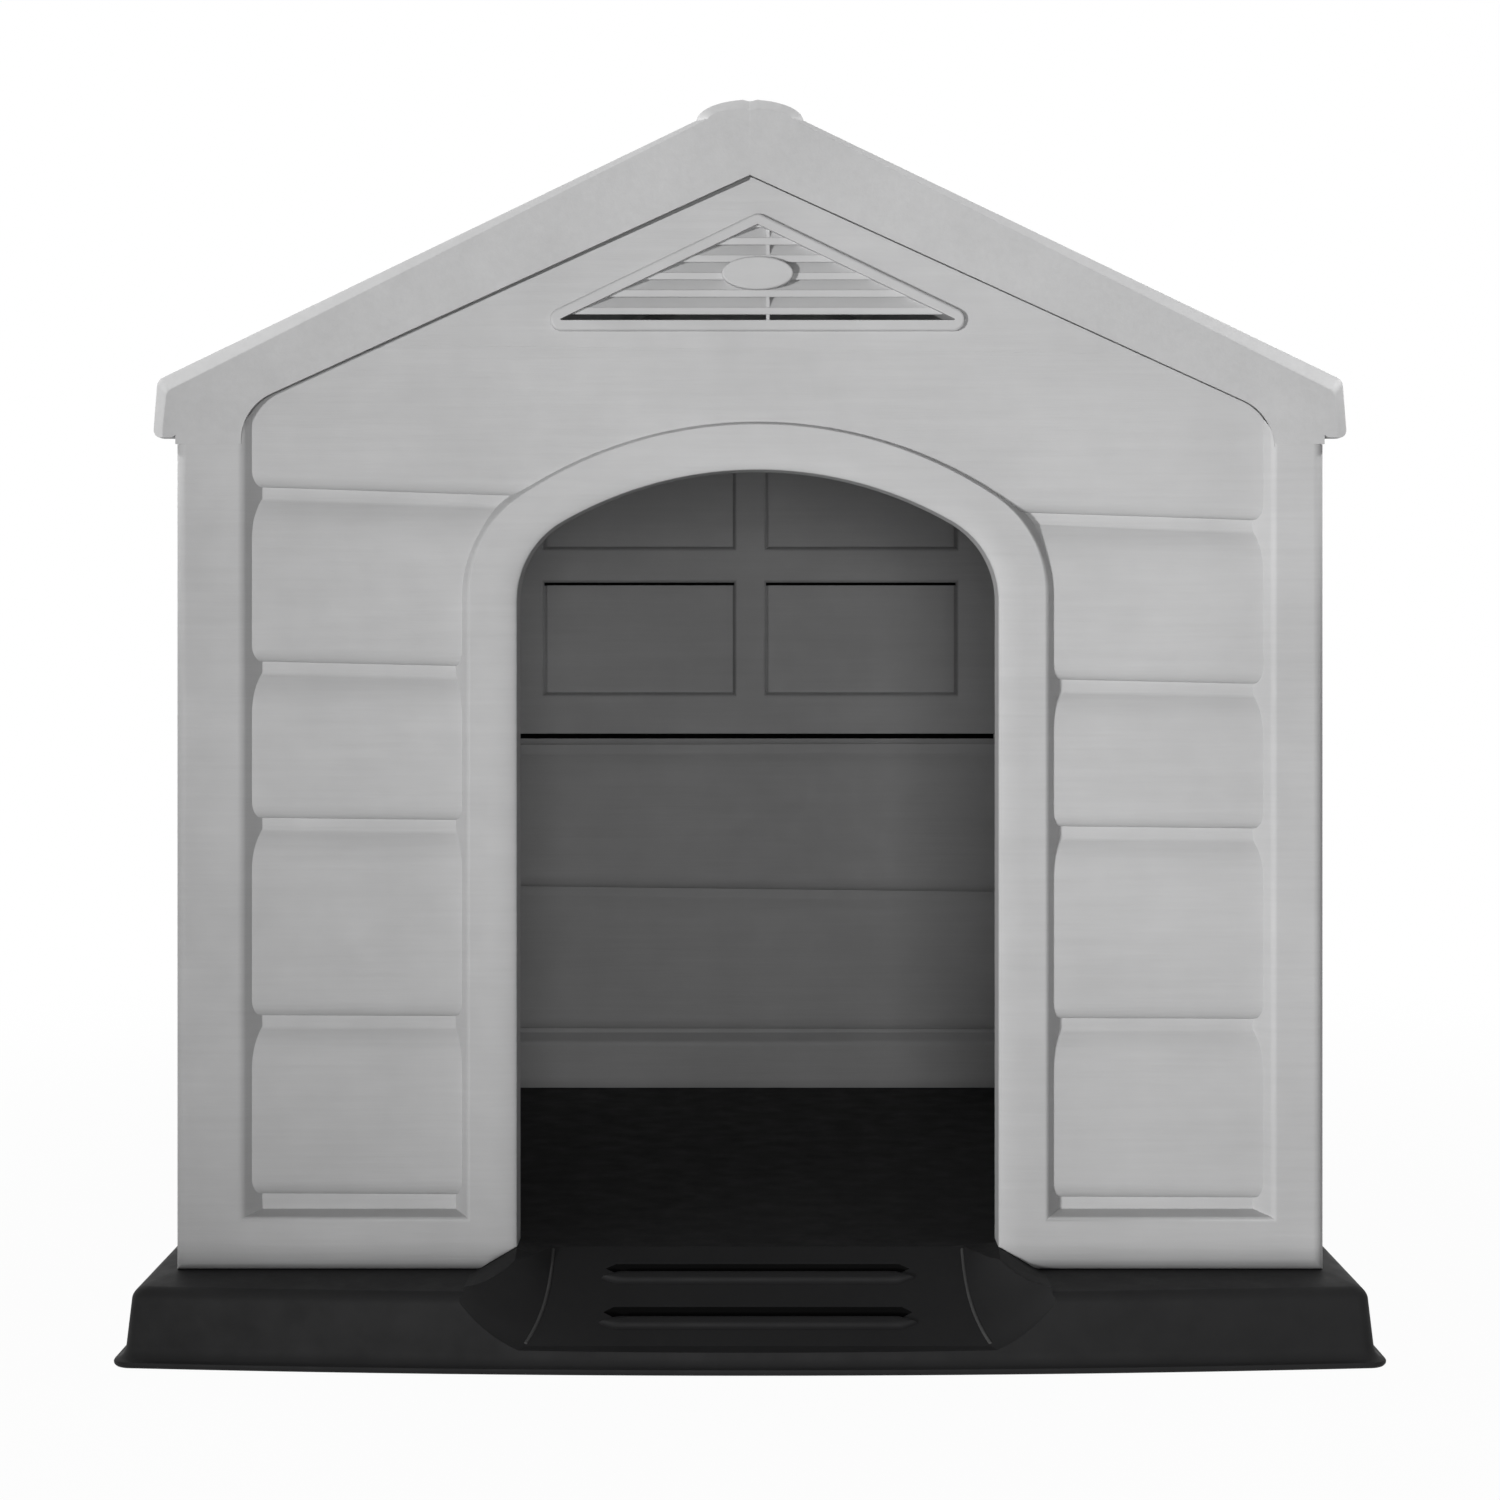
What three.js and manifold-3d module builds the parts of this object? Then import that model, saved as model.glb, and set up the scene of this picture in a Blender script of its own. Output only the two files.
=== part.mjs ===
// A dog house of moulded plastic panels: a base, four double-skinned walls that tie together
// at the corners, two roof halves bolted along the ridge, and two louvred gable vents.
// Millimetres, +Z up. The doorway faces -Y and the origin is under the middle of the base.
import * as THREE from "three";
import { mergeVertices } from "three/addons/utils/BufferGeometryUtils.js";
import Module from "manifold-3d";

const wasm = await Module();
wasm.setup();

// ---- Driving dimensions ----

const fit = 0.3; // between pieces that rest on or against each other
const skin = 2.5; // of every double-skinned moulding
const panelThickness = 40; // of a wall, from its outer frame to its inner frame
const edgeRadius = 9; // round edges of the walls, the doorway and the roof
const roundSteps = 3; // facets in a quarter turn of a round edge
const cutLap = 5; // how far a cut runs past the face it opens

// House
const wallWidth = 894; // across the front and back walls
const houseLength = 825; // from the face of the front wall to the face of the back wall
const roofPitch = THREE.MathUtils.degToRad(25.7);
const ridgeHeight = 978.5; // where the two roof planes would meet
const roofThickness = 40; // measured upright

// Base
const baseRimSide = 38; // from the side walls out to the rim
const baseRimEnd = 50; // from the front and back walls out to the rim
const baseBow = 25; // how far the front edge bows forward in its middle
const baseCornerRadius = 28;
const rimHeight = 12;
const rimWidth = 8;
const rimEdge = 1.5;
const skirtDraft = 7; // how far the skirt leans in on its way up
const skirtHeight = 52;
const shoulderHeight = 61; // where the walls stand
const shoulderDrop = 3; // the shoulder falls this much towards the skirt
const shoulderRound = 5;
const smallCornerRadius = 3; // sharpest corner of the base seen from above
const floorHeight = 74;
const baseCornerSteps = 4;
const baseBowSteps = 12;
const undersideLift = 4; // the underside clears the ground inside the rim
const footWidth = 12; // of the ring that the base stands on
const drainRadius = 6; // hole that vents each hollow moulding

// Ramp in front of the doorway
const rampTopWidth = 320;
const rampFootWidth = 368;
const rampCrestInset = 11; // the crest lies this far in front of the walls' inner faces
const rampTipWidth = 378;
const rampRun = 87;
const rampFootHeight = 18;
const rampTipHeight = 14;
const rampFlare = 40; // how far each side opens out at the foot
const rampCove = 0.55; // how hollow the flared sides are: 0.5 is flat
const gripBarLength = 244;
const gripBarWidth = 12;
const gripBarHeight = 6;
const gripBarRidge = 1.5; // width of its top
const gripBarPoint = 12; // length of each pointed end
const gripBarPlaces = [0.27, 0.7]; // along the ramp from its crest

// Frames and boards of the walls
const postWidth = 48; // of each front and back post, with the relief in the middle
const bottomRail = 39;
const outerRecess = 17; // depth of the recess that holds the boards
const recessDraft = 0.62; // how much the recess narrows for each millimetre of depth
const footDraft = 0.4; // the same at the foot of the recess
const trimDraft = 0.9; // the same round the doorway's trim
const outerCrest = 8.2; // depth of the boards' highest line below the frame
const innerFrame = 80; // width of the plain border on the inner face of the gable walls
const innerRecess = 12;
const innerCrest = 6;
const boardGroove = 10; // flat groove between two boards
const boardLowRound = 16; // height of the round lower edge of a board
const boardHighRound = 29; // height of the round upper edge of a board
const boardSteps = 3; // facets in a board's round edge
const webLap = 2; // how far the boards run into the web behind them
const sidePost = 30;
const sideTopRail = 62;
const innerSideFrame = 46;
const innerTopRail = 40;

// Boards' joint lines, bottom to top, each [height at the left end, height at the right end]
const gableJoints = [[120, 116], [258, 255], [413, 404], [536, 517], [673, 645], [787, 778], [960, 960]];
const backInnerJoints = [[134, 136], [280, 290], [441, 439], [585, 590], [735, 735], [960, 960]];
const sideJoints = [[116, 120], [255, 258], [404, 413], [517, 536], [720, 720]];

// Doorway
const doorOffset = 6; // of the doorway, its trim, its vent and the ramp to the right of the middle
const doorWidth = 382;
const doorHeight = 685.5;
const doorCrownRadius = 308;
const doorShoulderRadius = 73;
const doorFootRadius = 27;
const doorEaseWidth = 20; // the trim falls back this far round the doorway
const doorEaseDepth = 4;
const doorBackRound = 5; // round edge of the doorway inside the house
const trimSide = 30.5; // width of the plain trim beside the doorway
const trimTop = 35;
const trimCrownRadius = 330;
const trimShoulderRadius = 86;
const archSteps = 6; // facets in each arc of the arch

// Bargeboards at both ends of the roof
const fasciaDepth = 18;
const fasciaDrop = 24.5; // from the roof's underside to its lower edge, in the middle
const fasciaPitch = THREE.MathUtils.degToRad(24.55);
const fasciaCornerRadius = 24;
const fasciaReach = 52; // from the eave down to where the bargeboard meets the post
const fasciaClearance = 0.5;

// Roof
const eaveOverhang = 14; // from the face of the side walls out to the eave
const lipFlare = 5; // how much further out the lip under the eave stands
const lipDrop = 40; // from the eave down to the lip's outer edge
const lipRound = 5; // height of the lip's slanted lower edge
const lipTaper = 4; // width of that edge
const lipInnerRise = 3; // how much shorter the lip is on its inside
const eaveClearance = 1.5; // between the side walls and the lip that hangs over them
const rollHalfWidth = 42;
const rollSink = 21; // from where the roof planes would meet down to the middle of the ridge roll
const rollRise = 17.2;
const rollSteps = 6;
const rollDip = 1.2; // dip where the two halves meet
const rollDipHalf = 6;
const courseCount = 4; // lapped courses on each slope
const courseDepth = 5;
const courseTip = 0.5; // depth of a course's edge below the roof's plane
const courseFirst = 70; // from the ridge, measured level
const courseLast = 430;
const courseMargin = 48; // plain border at each end of the roof
const ridgeFlangeWidth = 10;
const ridgeFlangeHeight = 36;
const ridgeFlangeGap = 6; // from the gable walls
const ridgeBoltRise = 14.4; // from the flanges' lower edge
const ridgeBoltInset = 60;
const ridgeBoltCount = 3;

// Vents
const ventHalf = 153; // to the centre of each rounded corner
const ventDrop = 112; // from the bargeboards' edge in the middle to the vent's lower corners
const ventRingRadius = 9;
const ventRingWidth = 9.5;
const ventProud = 5;
const ventSkirt = 2;
const ventSkirtDepth = 30; // from the pad it is seated on
const slatCount = 6;
const slatPitch = 13.7;
const slatThickness = 2.5;
const slatFirst = 1.6; // from the vent's lower line to the first slat
const slatInset = 1; // behind the face of the vent's ring
const slatRise = 12; // a slat climbs this much from front to back
const slatDepth = 14;
const slatLap = 3; // how far a slat runs into the ring
const ventRibWidth = 2.6;
const ventRibOffset = 8;
const ventRibDepth = 20;
const bossHalfWidth = 28;
const bossHalfHeight = 13;
const bossRise = 36; // from the vent's lower corners to the middle of the boss
const bossDepth = 8;
const bossSides = 28;
const padMargin = 2; // plain seat round the vent

// Window moulding on the inner face of the back wall
const paneWidth = 206;
const muntin = 31;
const stile = 40;
const windowBottomRail = 42;
const lowerPane = 122;
const windowMidRail = 34;
const upperPane = 93;
const windowTopRail = 38;
const windowSill = 451; // height of the moulding's lower edge
const paneDepth = 8;
const paneDraft = 3;
const sillGroove = 4; // shadow groove under the moulding
const innerSkirtTop = 122; // plain skirting on the back wall's inner face

// Locking tongues under the walls
const tongueLength = 90;
const tongueThickness = 14;
const tongueDrop = 14;
const drainToTongue = 12; // from a tongue's end to the middle of the drain beside it
const tonguePlaces = { front: [-330, 330], back: [-260, 260], side: [-220, 220] };

// Corner brackets and screws
const bracketLeg = 32;
const bracketThickness = 3;
const bracketLow = 150;
const bracketHigh = 620;
const bracketEnd = 40; // from each end to a screw
const screwOffset = 18; // from the corner
const screwShankRadius = 2.2;
const screwHeadRadius = 6;
const screwHeadHeight = 3.2;
const screwLength = 22;
const screwHoleRadius = 2.6;
const screwBossRadius = 8;
const headTaper = 0.8; // width of a screw's face as a share of its head
const headEdge = 0.4; // height of its bevel as a share of its head
const screwSides = 12;
const boltRadius = 3;
const boltHoleRadius = 3.4;
const boltHeadRadius = 7;
const boltHeadHeight = 4;
const nutRadius = 6.5;
const nutHeight = 5;
const nutSides = 6;

// ---- Places that follow from them ----

const wallHalf = wallWidth / 2;
const pitchSlope = Math.tan(roofPitch);
const pitchStretch = 1 / Math.cos(roofPitch);
const fasciaSlope = Math.tan(fasciaPitch);
const baseLength = baseRimEnd * 2 + baseBow + houseLength;
const frontFace = -baseLength / 2 + baseBow + baseRimEnd;
const backFace = frontFace + houseLength;
const baseHalf = wallHalf + baseRimSide;
const eaveTopHalf = wallHalf + eaveOverhang;
const eaveHeight = ridgeHeight - pitchSlope * eaveTopHalf;
const lipHalf = eaveTopHalf + lipFlare;
const lipHeight = eaveHeight - lipDrop;
const fasciaFoot = eaveHeight - fasciaReach;
const fasciaHeight = ridgeHeight - roofThickness - fasciaDrop;
const rollCentreHeight = ridgeHeight - rollSink;
const ventBottom = fasciaHeight - ventDrop;
const bossHeight = ventBottom + bossRise;
const rebate = fasciaDepth + fasciaClearance;
const sideLength = houseLength - 2 * panelThickness - 2 * fit;
const sideCentre = (frontFace + backFace) / 2;
const wallFoot = shoulderHeight + fit;
const doorHalf = doorWidth / 2;
const plateauFit = panelThickness + fit;
const rampCrest = frontFace + panelThickness - rampCrestInset;
const boardReach = wallHalf - postWidth / 2; // the boards end inside the posts
const recessFoot = wallFoot + bottomRail - fit;
const undersideOfRoof = (x) => ridgeHeight - roofThickness - pitchSlope * Math.abs(x);
const wallTop = (x, inset) => undersideOfRoof(x) - fit - inset * pitchStretch;
const fasciaLine = (x) => fasciaHeight - fasciaSlope * Math.abs(x);

// ---- Shapes ----

// Where (u, v) of an outline and its place w along the third axis go.
const alongX = (u, v, w) => [w, u, v];
const alongY = (u, v, w) => [u, w, v];
const alongZ = (u, v, w) => [u, v, w];

function toSolid(geometry) {
  const bare = new THREE.BufferGeometry();
  bare.setAttribute("position", geometry.getAttribute("position"));
  if (geometry.index) bare.setIndex(geometry.index);
  const merged = mergeVertices(bare, 1e-4);
  return new wasm.Manifold(
    new wasm.Mesh({
      numProp: 3,
      vertProperties: new Float32Array(merged.attributes.position.array),
      triVerts: new Uint32Array(merged.index.array),
    }),
  );
}

// A solid through outlines of equal point count: levels are { at, outline: [[u, v], ...] }.
function loft(levels, toXYZ) {
  const count = levels[0].outline.length;
  const positions = levels.flatMap(({ at, outline }) => outline.flatMap(([u, v]) => toXYZ(u, v, at)));
  const triangles = [];
  for (let level = 0; level + 1 < levels.length; level++) {
    for (let i = 0; i < count; i++) {
      const a = level * count + i;
      const b = level * count + ((i + 1) % count);
      triangles.push([a, b, b + count], [a, b + count, a + count]);
    }
  }
  addCap(triangles, levels[0].outline, 0, -1);
  addCap(triangles, levels.at(-1).outline, (levels.length - 1) * count, 1);
  const outward = signedVolume(positions, triangles) > 0;
  const index = triangles.flatMap(([a, b, c]) => (outward ? [a, b, c] : [a, c, b]));
  const geometry = new THREE.BufferGeometry();
  geometry.setAttribute("position", new THREE.Float32BufferAttribute(positions, 3));
  geometry.setIndex(index);
  return toSolid(geometry);
}

// Closes an end of a loft, turned the way of its outline, or the other way for the first end.
function addCap(triangles, outline, offset, side) {
  const contour = outline.map(([u, v]) => new THREE.Vector2(u, v));
  const turn = Math.sign(THREE.ShapeUtils.area(contour)) * side;
  for (const [a, b, c] of THREE.ShapeUtils.triangulateShape(contour, [])) {
    const face = Math.sign(THREE.ShapeUtils.area([contour[a], contour[b], contour[c]]));
    const corners = face === turn ? [a, b, c] : [a, c, b];
    triangles.push(corners.map((corner) => corner + offset));
  }
}

function signedVolume(positions, triangles) {
  const corner = (i) => new THREE.Vector3().fromArray(positions, 3 * i);
  return triangles.reduce((sum, [a, b, c]) => sum + corner(a).dot(corner(b).cross(corner(c))), 0);
}

const prism = (outline, from, to, toXYZ) =>
  loft([{ at: from, outline }, { at: to, outline }], toXYZ);

function box(low, high) {
  const size = high.map((value, axis) => value - low[axis]);
  const geometry = new THREE.BoxGeometry(...size);
  geometry.translate(...low.map((value, axis) => value + size[axis] / 2));
  return toSolid(geometry);
}

// A round bar from one point along a direction.
function bar(radius, length, from, direction, sides = screwSides) {
  const geometry = new THREE.CylinderGeometry(radius, radius, length, sides);
  geometry.translate(0, length / 2, 0);
  geometry.applyQuaternion(
    new THREE.Quaternion().setFromUnitVectors(new THREE.Vector3(0, 1, 0), new THREE.Vector3(...direction)),
  );
  geometry.translate(...from);
  return toSolid(geometry);
}

// The largest body of a solid, without the slivers that rounding leaves where faces nearly meet.
const mainBody = (solid) =>
  solid.decompose().reduce((best, body) => (body.volume() > best.volume() ? body : best));

function arc(centreU, centreV, radiusU, radiusV, fromDegrees, toDegrees, steps) {
  const points = [];
  for (let i = 0; i <= steps; i++) {
    const angle = THREE.MathUtils.degToRad(fromDegrees + ((toDegrees - fromDegrees) * i) / steps);
    points.push([centreU + radiusU * Math.cos(angle), centreV + radiusV * Math.sin(angle)]);
  }
  return points;
}

// Replaces a corner of an outline by an arc that touches both of its sides.
function roundCorner(before, corner, after, radius, steps) {
  const p = new THREE.Vector2(...corner);
  const toBefore = new THREE.Vector2(...before).sub(p).normalize();
  const toAfter = new THREE.Vector2(...after).sub(p).normalize();
  const half = Math.acos(toBefore.dot(toAfter)) / 2;
  const middle = toBefore.clone().add(toAfter).normalize();
  const centre = p.clone().addScaledVector(middle, radius / Math.sin(half));
  const start = p.clone().addScaledVector(toBefore, radius / Math.tan(half)).sub(centre);
  const end = p.clone().addScaledVector(toAfter, radius / Math.tan(half)).sub(centre);
  const sweep = Math.atan2(start.cross(end), start.dot(end));
  const points = [];
  for (let i = 0; i <= steps; i++) {
    const spoke = start.clone().rotateAround(new THREE.Vector2(), (sweep * i) / steps);
    points.push(spoke.add(centre).toArray());
  }
  return points;
}

const mirrored = (points) => points.map(([u, v]) => [-u, v]).reverse();
const shifted = (points, offset) => points.map(([u, v]) => [u + offset, v]);

// Steps of a quarter-round edge: how far in from the face, and how far the outline draws back.
function edgeSteps(radius) {
  return Array.from({ length: roundSteps + 1 }, (_, i) => {
    const angle = ((Math.PI / 2) * i) / roundSteps;
    return { depth: radius * (1 - Math.cos(angle)), back: radius * (1 - Math.sin(angle)) };
  });
}

// The right-hand half of a three-centred arch from its springing to its crown.
function halfArch(halfWidth, crown, crownRadius, shoulderRadius) {
  const across = halfWidth - shoulderRadius;
  const reach = crownRadius - shoulderRadius;
  const spring = crown - crownRadius + Math.sqrt(reach ** 2 - across ** 2);
  const turn = THREE.MathUtils.radToDeg(Math.acos(across / reach));
  const shoulder = arc(across, spring, shoulderRadius, shoulderRadius, 0, turn, archSteps);
  const crownArc = arc(0, crown - crownRadius, crownRadius, crownRadius, turn, 90, archSteps);
  return [...shoulder, ...crownArc.slice(1)];
}

// ---- Boards ----

// Cross-section [depth, height] of one board between two grooves.
function boardSection(low, high, crest, groove, root, inset, outward) {
  const depth = (value) => (outward ? value + inset : panelThickness - value - inset);
  const proudest = groove - crest;
  const lower = arc(0, low + inset + boardLowRound, proudest, boardLowRound, 270, 360, boardSteps);
  const upper = arc(0, high - inset - boardHighRound, proudest, boardHighRound, 0, 90, boardSteps);
  const face = [...lower, ...upper].map(([proud, z]) => [depth(groove - proud), z]);
  return [[depth(root), low + inset], ...face, [depth(root), high - inset]];
}

// All the boards of one face of a panel, from end to end.
function boards(joints, halfWidth, face, inset) {
  const { crest, groove, outward } = face;
  const root = groove + webLap;
  return joints.slice(1).map((joint, i) => {
    const section = (end) =>
      boardSection(joints[i][end], joint[end] - boardGroove, crest, groove, root, inset, outward);
    const levels = [{ at: -halfWidth, outline: section(0) }, { at: halfWidth, outline: section(1) }];
    return loft(levels, alongX);
  }).reduce((all, board) => all.add(board));
}

const outerFace = { crest: outerCrest, groove: outerRecess, outward: true };
const innerFace = { crest: innerCrest, groove: innerRecess, outward: false };

// A drafted recess in the outer or the inner face; region(grow) is its outline, grown all round.
function recessCut(region, face, inset) {
  const grow = inset * Math.hypot(1, recessDraft);
  const place = (depth) => (face.outward ? depth : panelThickness - depth);
  const level = (depth) => ({ at: place(depth), outline: region(grow - depth * recessDraft) });
  return loft([level(-cutLap), level(face.groove + inset)], alongY);
}

// ---- Wall panels ----
// A panel stands in its own frame: across it is X, its outer face is y = 0 and its inner face is
// y = panelThickness. Each body function gives the outside for an inset of 0, and the hollow
// inside the skins for an inset of one skin.

const panelRange = (inset) => [inset, panelThickness - inset];

function gableOutline(inset, edge) {
  const half = wallHalf - inset - edge;
  return [
    [-half, wallFoot + inset + edge],
    [half, wallFoot + inset + edge],
    [half, wallTop(wallHalf, inset)],
    [0, wallTop(0, inset)],
    [-half, wallTop(wallHalf, inset)],
  ];
}

// The lower edge of the bargeboard, or of the wall below it, from the post to the middle.
function halfFasciaEdge(gap) {
  const post = wallHalf - postWidth - gap;
  const stretch = gap / Math.cos(fasciaPitch);
  const corner = [post, fasciaLine(post) - stretch];
  const radius = Math.max(fasciaCornerRadius - gap, 1);
  const middle = [0, fasciaHeight - stretch];
  return [...roundCorner([post, fasciaFoot], corner, middle, radius, roundSteps + 1), middle];
}

// The space that the bargeboard fills in front of a gable wall.
function rebateCut(inset) {
  const gap = fasciaClearance + inset;
  const foot = fasciaFoot - gap;
  const clear = ridgeHeight + cutLap;
  const right = [
    [0, clear],
    [wallHalf + cutLap, clear],
    [wallHalf + cutLap, foot],
    [wallHalf - postWidth - gap, foot],
    ...halfFasciaEdge(gap),
  ];
  return prism([...right, ...mirrored(right.slice(1, -1))], -cutLap, rebate + inset, alongY);
}

function trimOutline(grow) {
  const crown = doorHeight + trimTop + grow;
  return halfArch(doorHalf + trimSide + grow, crown, trimCrownRadius + grow, trimShoulderRadius + grow);
}

// The recess between the posts, which runs up behind the bargeboard.
function betweenPosts(grow) {
  const side = wallHalf - postWidth + grow;
  return [[side, recessFoot - (grow * footDraft) / recessDraft], [side, ridgeHeight]];
}

function frontRegion(grow) {
  const trim = trimOutline((-grow * trimDraft) / recessDraft).toReversed();
  const posts = betweenPosts(grow);
  const right = [...trim, [trim.at(-1)[0], posts[0][1]], ...posts];
  return shifted([...right, ...mirrored(right.slice(1))], doorOffset);
}

function backRegion(grow) {
  const right = betweenPosts(grow);
  return [...right, ...mirrored(right)];
}

// The inner recess of a gable wall, with the doorway's border left plain or not.
function innerRegion(grow, door) {
  const side = wallHalf - innerFrame + grow;
  const foot = innerSkirtTop - grow;
  const top = (x) => undersideOfRoof(x) - (innerTopRail - grow) * pitchStretch;
  const right = [[side, foot], [side, top(side)], [0, top(0)]];
  if (!door) return [...right, ...mirrored(right.slice(0, -1))];
  const trim = trimOutline(-grow).toReversed();
  const half = [...trim, [trim.at(-1)[0], foot], ...right];
  return shifted([...half, ...mirrored(half.slice(1, -1))], doorOffset);
}

function doorOutline(grow) {
  const [crownRadius, shoulderRadius] = [doorCrownRadius + grow, doorShoulderRadius + grow];
  const arch = halfArch(doorHalf + grow, doorHeight + grow, crownRadius, shoulderRadius);
  const footCentre = doorHalf + doorFootRadius;
  const radius = Math.max(doorFootRadius - grow, fit);
  const foot = arc(footCentre, wallFoot + doorFootRadius - fit, radius, radius, 270, 180, roundSteps);
  const right = [[footCentre, wallFoot - cutLap], ...foot, ...arch];
  return shifted([...right, ...mirrored(right).slice(1)], doorOffset);
}

function doorCut(inset) {
  const ease = edgeSteps(doorEaseWidth).map(({ depth, back }) => ({
    at: (depth * doorEaseDepth) / doorEaseWidth,
    grow: back,
  }));
  const inside = edgeSteps(doorBackRound).toReversed().map(({ depth, back }) => ({
    at: panelThickness - depth,
    grow: back,
  }));
  const levels = [
    { at: -cutLap, grow: doorEaseWidth },
    ...ease,
    ...inside,
    { at: panelThickness + cutLap, grow: doorBackRound },
  ];
  return loft(levels.map(({ at, grow }) => ({ at, outline: doorOutline(grow + inset) })), alongY);
}

// Outline of the vent, grown or shrunk from the line through the centres of its round corners.
function ventOutline(grow) {
  const bottom = ventBottom - grow;
  const apex = ventBottom + ventHalf * pitchSlope + grow * pitchStretch;
  const half = (apex - bottom) / pitchSlope;
  const corners = [[-half, bottom], [half, bottom], [0, apex]];
  if (grow <= fit) return corners;
  return corners.flatMap((corner, i) =>
    roundCorner(corners[(i + 2) % 3], corner, corners[(i + 1) % 3], grow, roundSteps + 1),
  );
}

const ventHoleGrow = ventRingRadius - ventRingWidth + ventSkirt + fit;

const reliefOffset = (door) => (door ? doorOffset : 0);

function gableBody(inset, door) {
  const [outer, inner] = panelRange(inset);
  const rim = edgeSteps(edgeRadius).map(({ depth, back }) => ({
    at: outer + depth,
    outline: gableOutline(inset, back),
  }));
  const slab = loft([...rim, { at: inner, outline: gableOutline(inset, 0) }], alongY);
  const pad = prism(
    shifted(ventOutline(ventRingRadius + padMargin - inset), reliefOffset(door)),
    outerCrest + inset,
    panelThickness / 2,
    alongY,
  );
  const outerRelief = recessCut(door ? frontRegion : backRegion, outerFace, inset)
    .subtract(boards(gableJoints, boardReach, outerFace, inset))
    .subtract(pad);
  const body = slab
    .subtract(rebateCut(inset))
    .subtract(outerRelief)
    .subtract(door ? plainRelief(inset) : windowRelief(inset));
  return door ? body.subtract(doorCut(inset)) : body.subtract(windowPanes(inset));
}

function plainRelief(inset) {
  return recessCut((grow) => innerRegion(grow, true), innerFace, inset).subtract(
    boards(gableJoints, boardReach, innerFace, inset),
  );
}

function windowRelief(inset) {
  const inside = boards(backInnerJoints, boardReach, innerFace, inset);
  return recessCut((grow) => innerRegion(grow, false), innerFace, inset)
    .subtract(inside.subtract(windowBlock(inset - sillGroove)))
    .subtract(windowBlock(inset));
}

const windowHalf = muntin / 2 + paneWidth + stile;
const windowTop =
  windowSill + windowBottomRail + lowerPane + windowMidRail + upperPane + windowTopRail;

function windowBlock(shrink) {
  const half = windowHalf - shrink;
  const [low, high] = [windowSill + shrink, windowTop - shrink];
  return box([-half, panelThickness / 2, low], [half, panelThickness + cutLap, high]);
}

function windowPanes(inset) {
  const lowerSill = windowSill + windowBottomRail;
  const upperSill = lowerSill + lowerPane + windowMidRail;
  const rows = [[lowerSill, lowerSill + lowerPane], [upperSill, upperSill + upperPane]];
  const near = muntin / 2;
  const columns = [[-near - paneWidth, -near], [near, near + paneWidth]];
  const rectangle = ([left, right], [low, high], shrink) => [
    [left + shrink, low + shrink],
    [right - shrink, low + shrink],
    [right - shrink, high - shrink],
    [left + shrink, high - shrink],
  ];
  return rows.flatMap((row) => columns.map((column) => loft([
    { at: panelThickness + cutLap, outline: rectangle(column, row, -inset) },
    { at: panelThickness - inset, outline: rectangle(column, row, -inset) },
    { at: panelThickness - paneDepth - inset, outline: rectangle(column, row, paneDraft - inset) },
  ], alongY))).reduce((all, pane) => all.add(pane));
}

function sideBody(inset) {
  const [outer, inner] = panelRange(inset);
  const half = sideLength / 2 - inset;
  const foot = wallFoot + inset;
  const top = (depth) => wallTop(wallHalf - depth, inset);
  const section = [
    [outer, foot + edgeRadius],
    [outer + edgeRadius, foot],
    [inner, foot],
    [inner, top(inner)],
    [outer, top(outer)],
  ];
  const rectangle = (frame, low, high) => (grow) => [
    [-sideLength / 2 + frame - grow, low - grow],
    [sideLength / 2 - frame + grow, low - grow],
    [sideLength / 2 - frame + grow, high + grow],
    [-sideLength / 2 + frame - grow, high + grow],
  ];
  const outerRegion = rectangle(sidePost, recessFoot, wallTop(wallHalf, 0) - sideTopRail);
  const plainRegion = rectangle(innerSideFrame, innerSkirtTop, wallTop(wallHalf, 0) - innerTopRail);
  const slab = prism(section, -half, half, alongX);
  return [[outerFace, outerRegion], [innerFace, plainRegion]].reduce((body, [face, region]) => {
    const lapped = boards(sideJoints, sideLength / 2 - sidePost / 2, face, inset);
    return body.subtract(recessCut(region, face, inset).subtract(lapped));
  }, slab);
}

// Hollows a panel out, leaving solid stock round its screw holes and its vent, and adds what every
// wall has: tongues, screw holes and drains. A gable wall has its vent `ventAcross` from the middle.
function finishPanel(outside, hollow, tongues, screwAcross, ventAcross) {
  let inside = hollow;
  const screws = [-1, 1].flatMap((side) => screwHeights.map((z) => [side * screwAcross, z]));
  for (const [x, z] of screws) {
    inside = inside.subtract(bar(screwBossRadius, panelThickness, [x, 0, z], [0, 1, 0]));
  }
  const ventHole = (grow) => shifted(ventOutline(ventHoleGrow + grow), ventAcross);
  if (ventAcross !== null) {
    inside = inside.subtract(prism(ventHole(skin), 0, panelThickness, alongY));
  }
  let body = outside.subtract(inside);
  for (const x of tongues) {
    const middle = panelThickness / 2;
    const low = [x - tongueLength / 2, middle - tongueThickness / 2, wallFoot - tongueDrop];
    const high = [x + tongueLength / 2, middle + tongueThickness / 2, wallFoot + skin / 2];
    body = body.add(box(low, high));
    const outward = Math.sign(x) * (tongueLength / 2 + drainToTongue);
    const drain = [x + outward, middle, wallFoot - cutLap];
    body = body.subtract(bar(drainRadius, 2 * cutLap + skin, drain, [0, 0, 1]));
  }
  for (const [x, z] of screws) {
    const start = [x, panelThickness + cutLap, z];
    body = body.subtract(bar(screwHoleRadius, screwLength + cutLap, start, [0, -1, 0]));
  }
  if (ventAcross !== null) {
    const seat = shifted(ventOutline(ventRingRadius + padMargin), ventAcross);
    body = body
      .subtract(prism(ventHole(0), -cutLap, panelThickness + cutLap, alongY))
      .subtract(prism(seat, -cutLap, outerCrest, alongY));
  }
  return mainBody(body);
}

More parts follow.
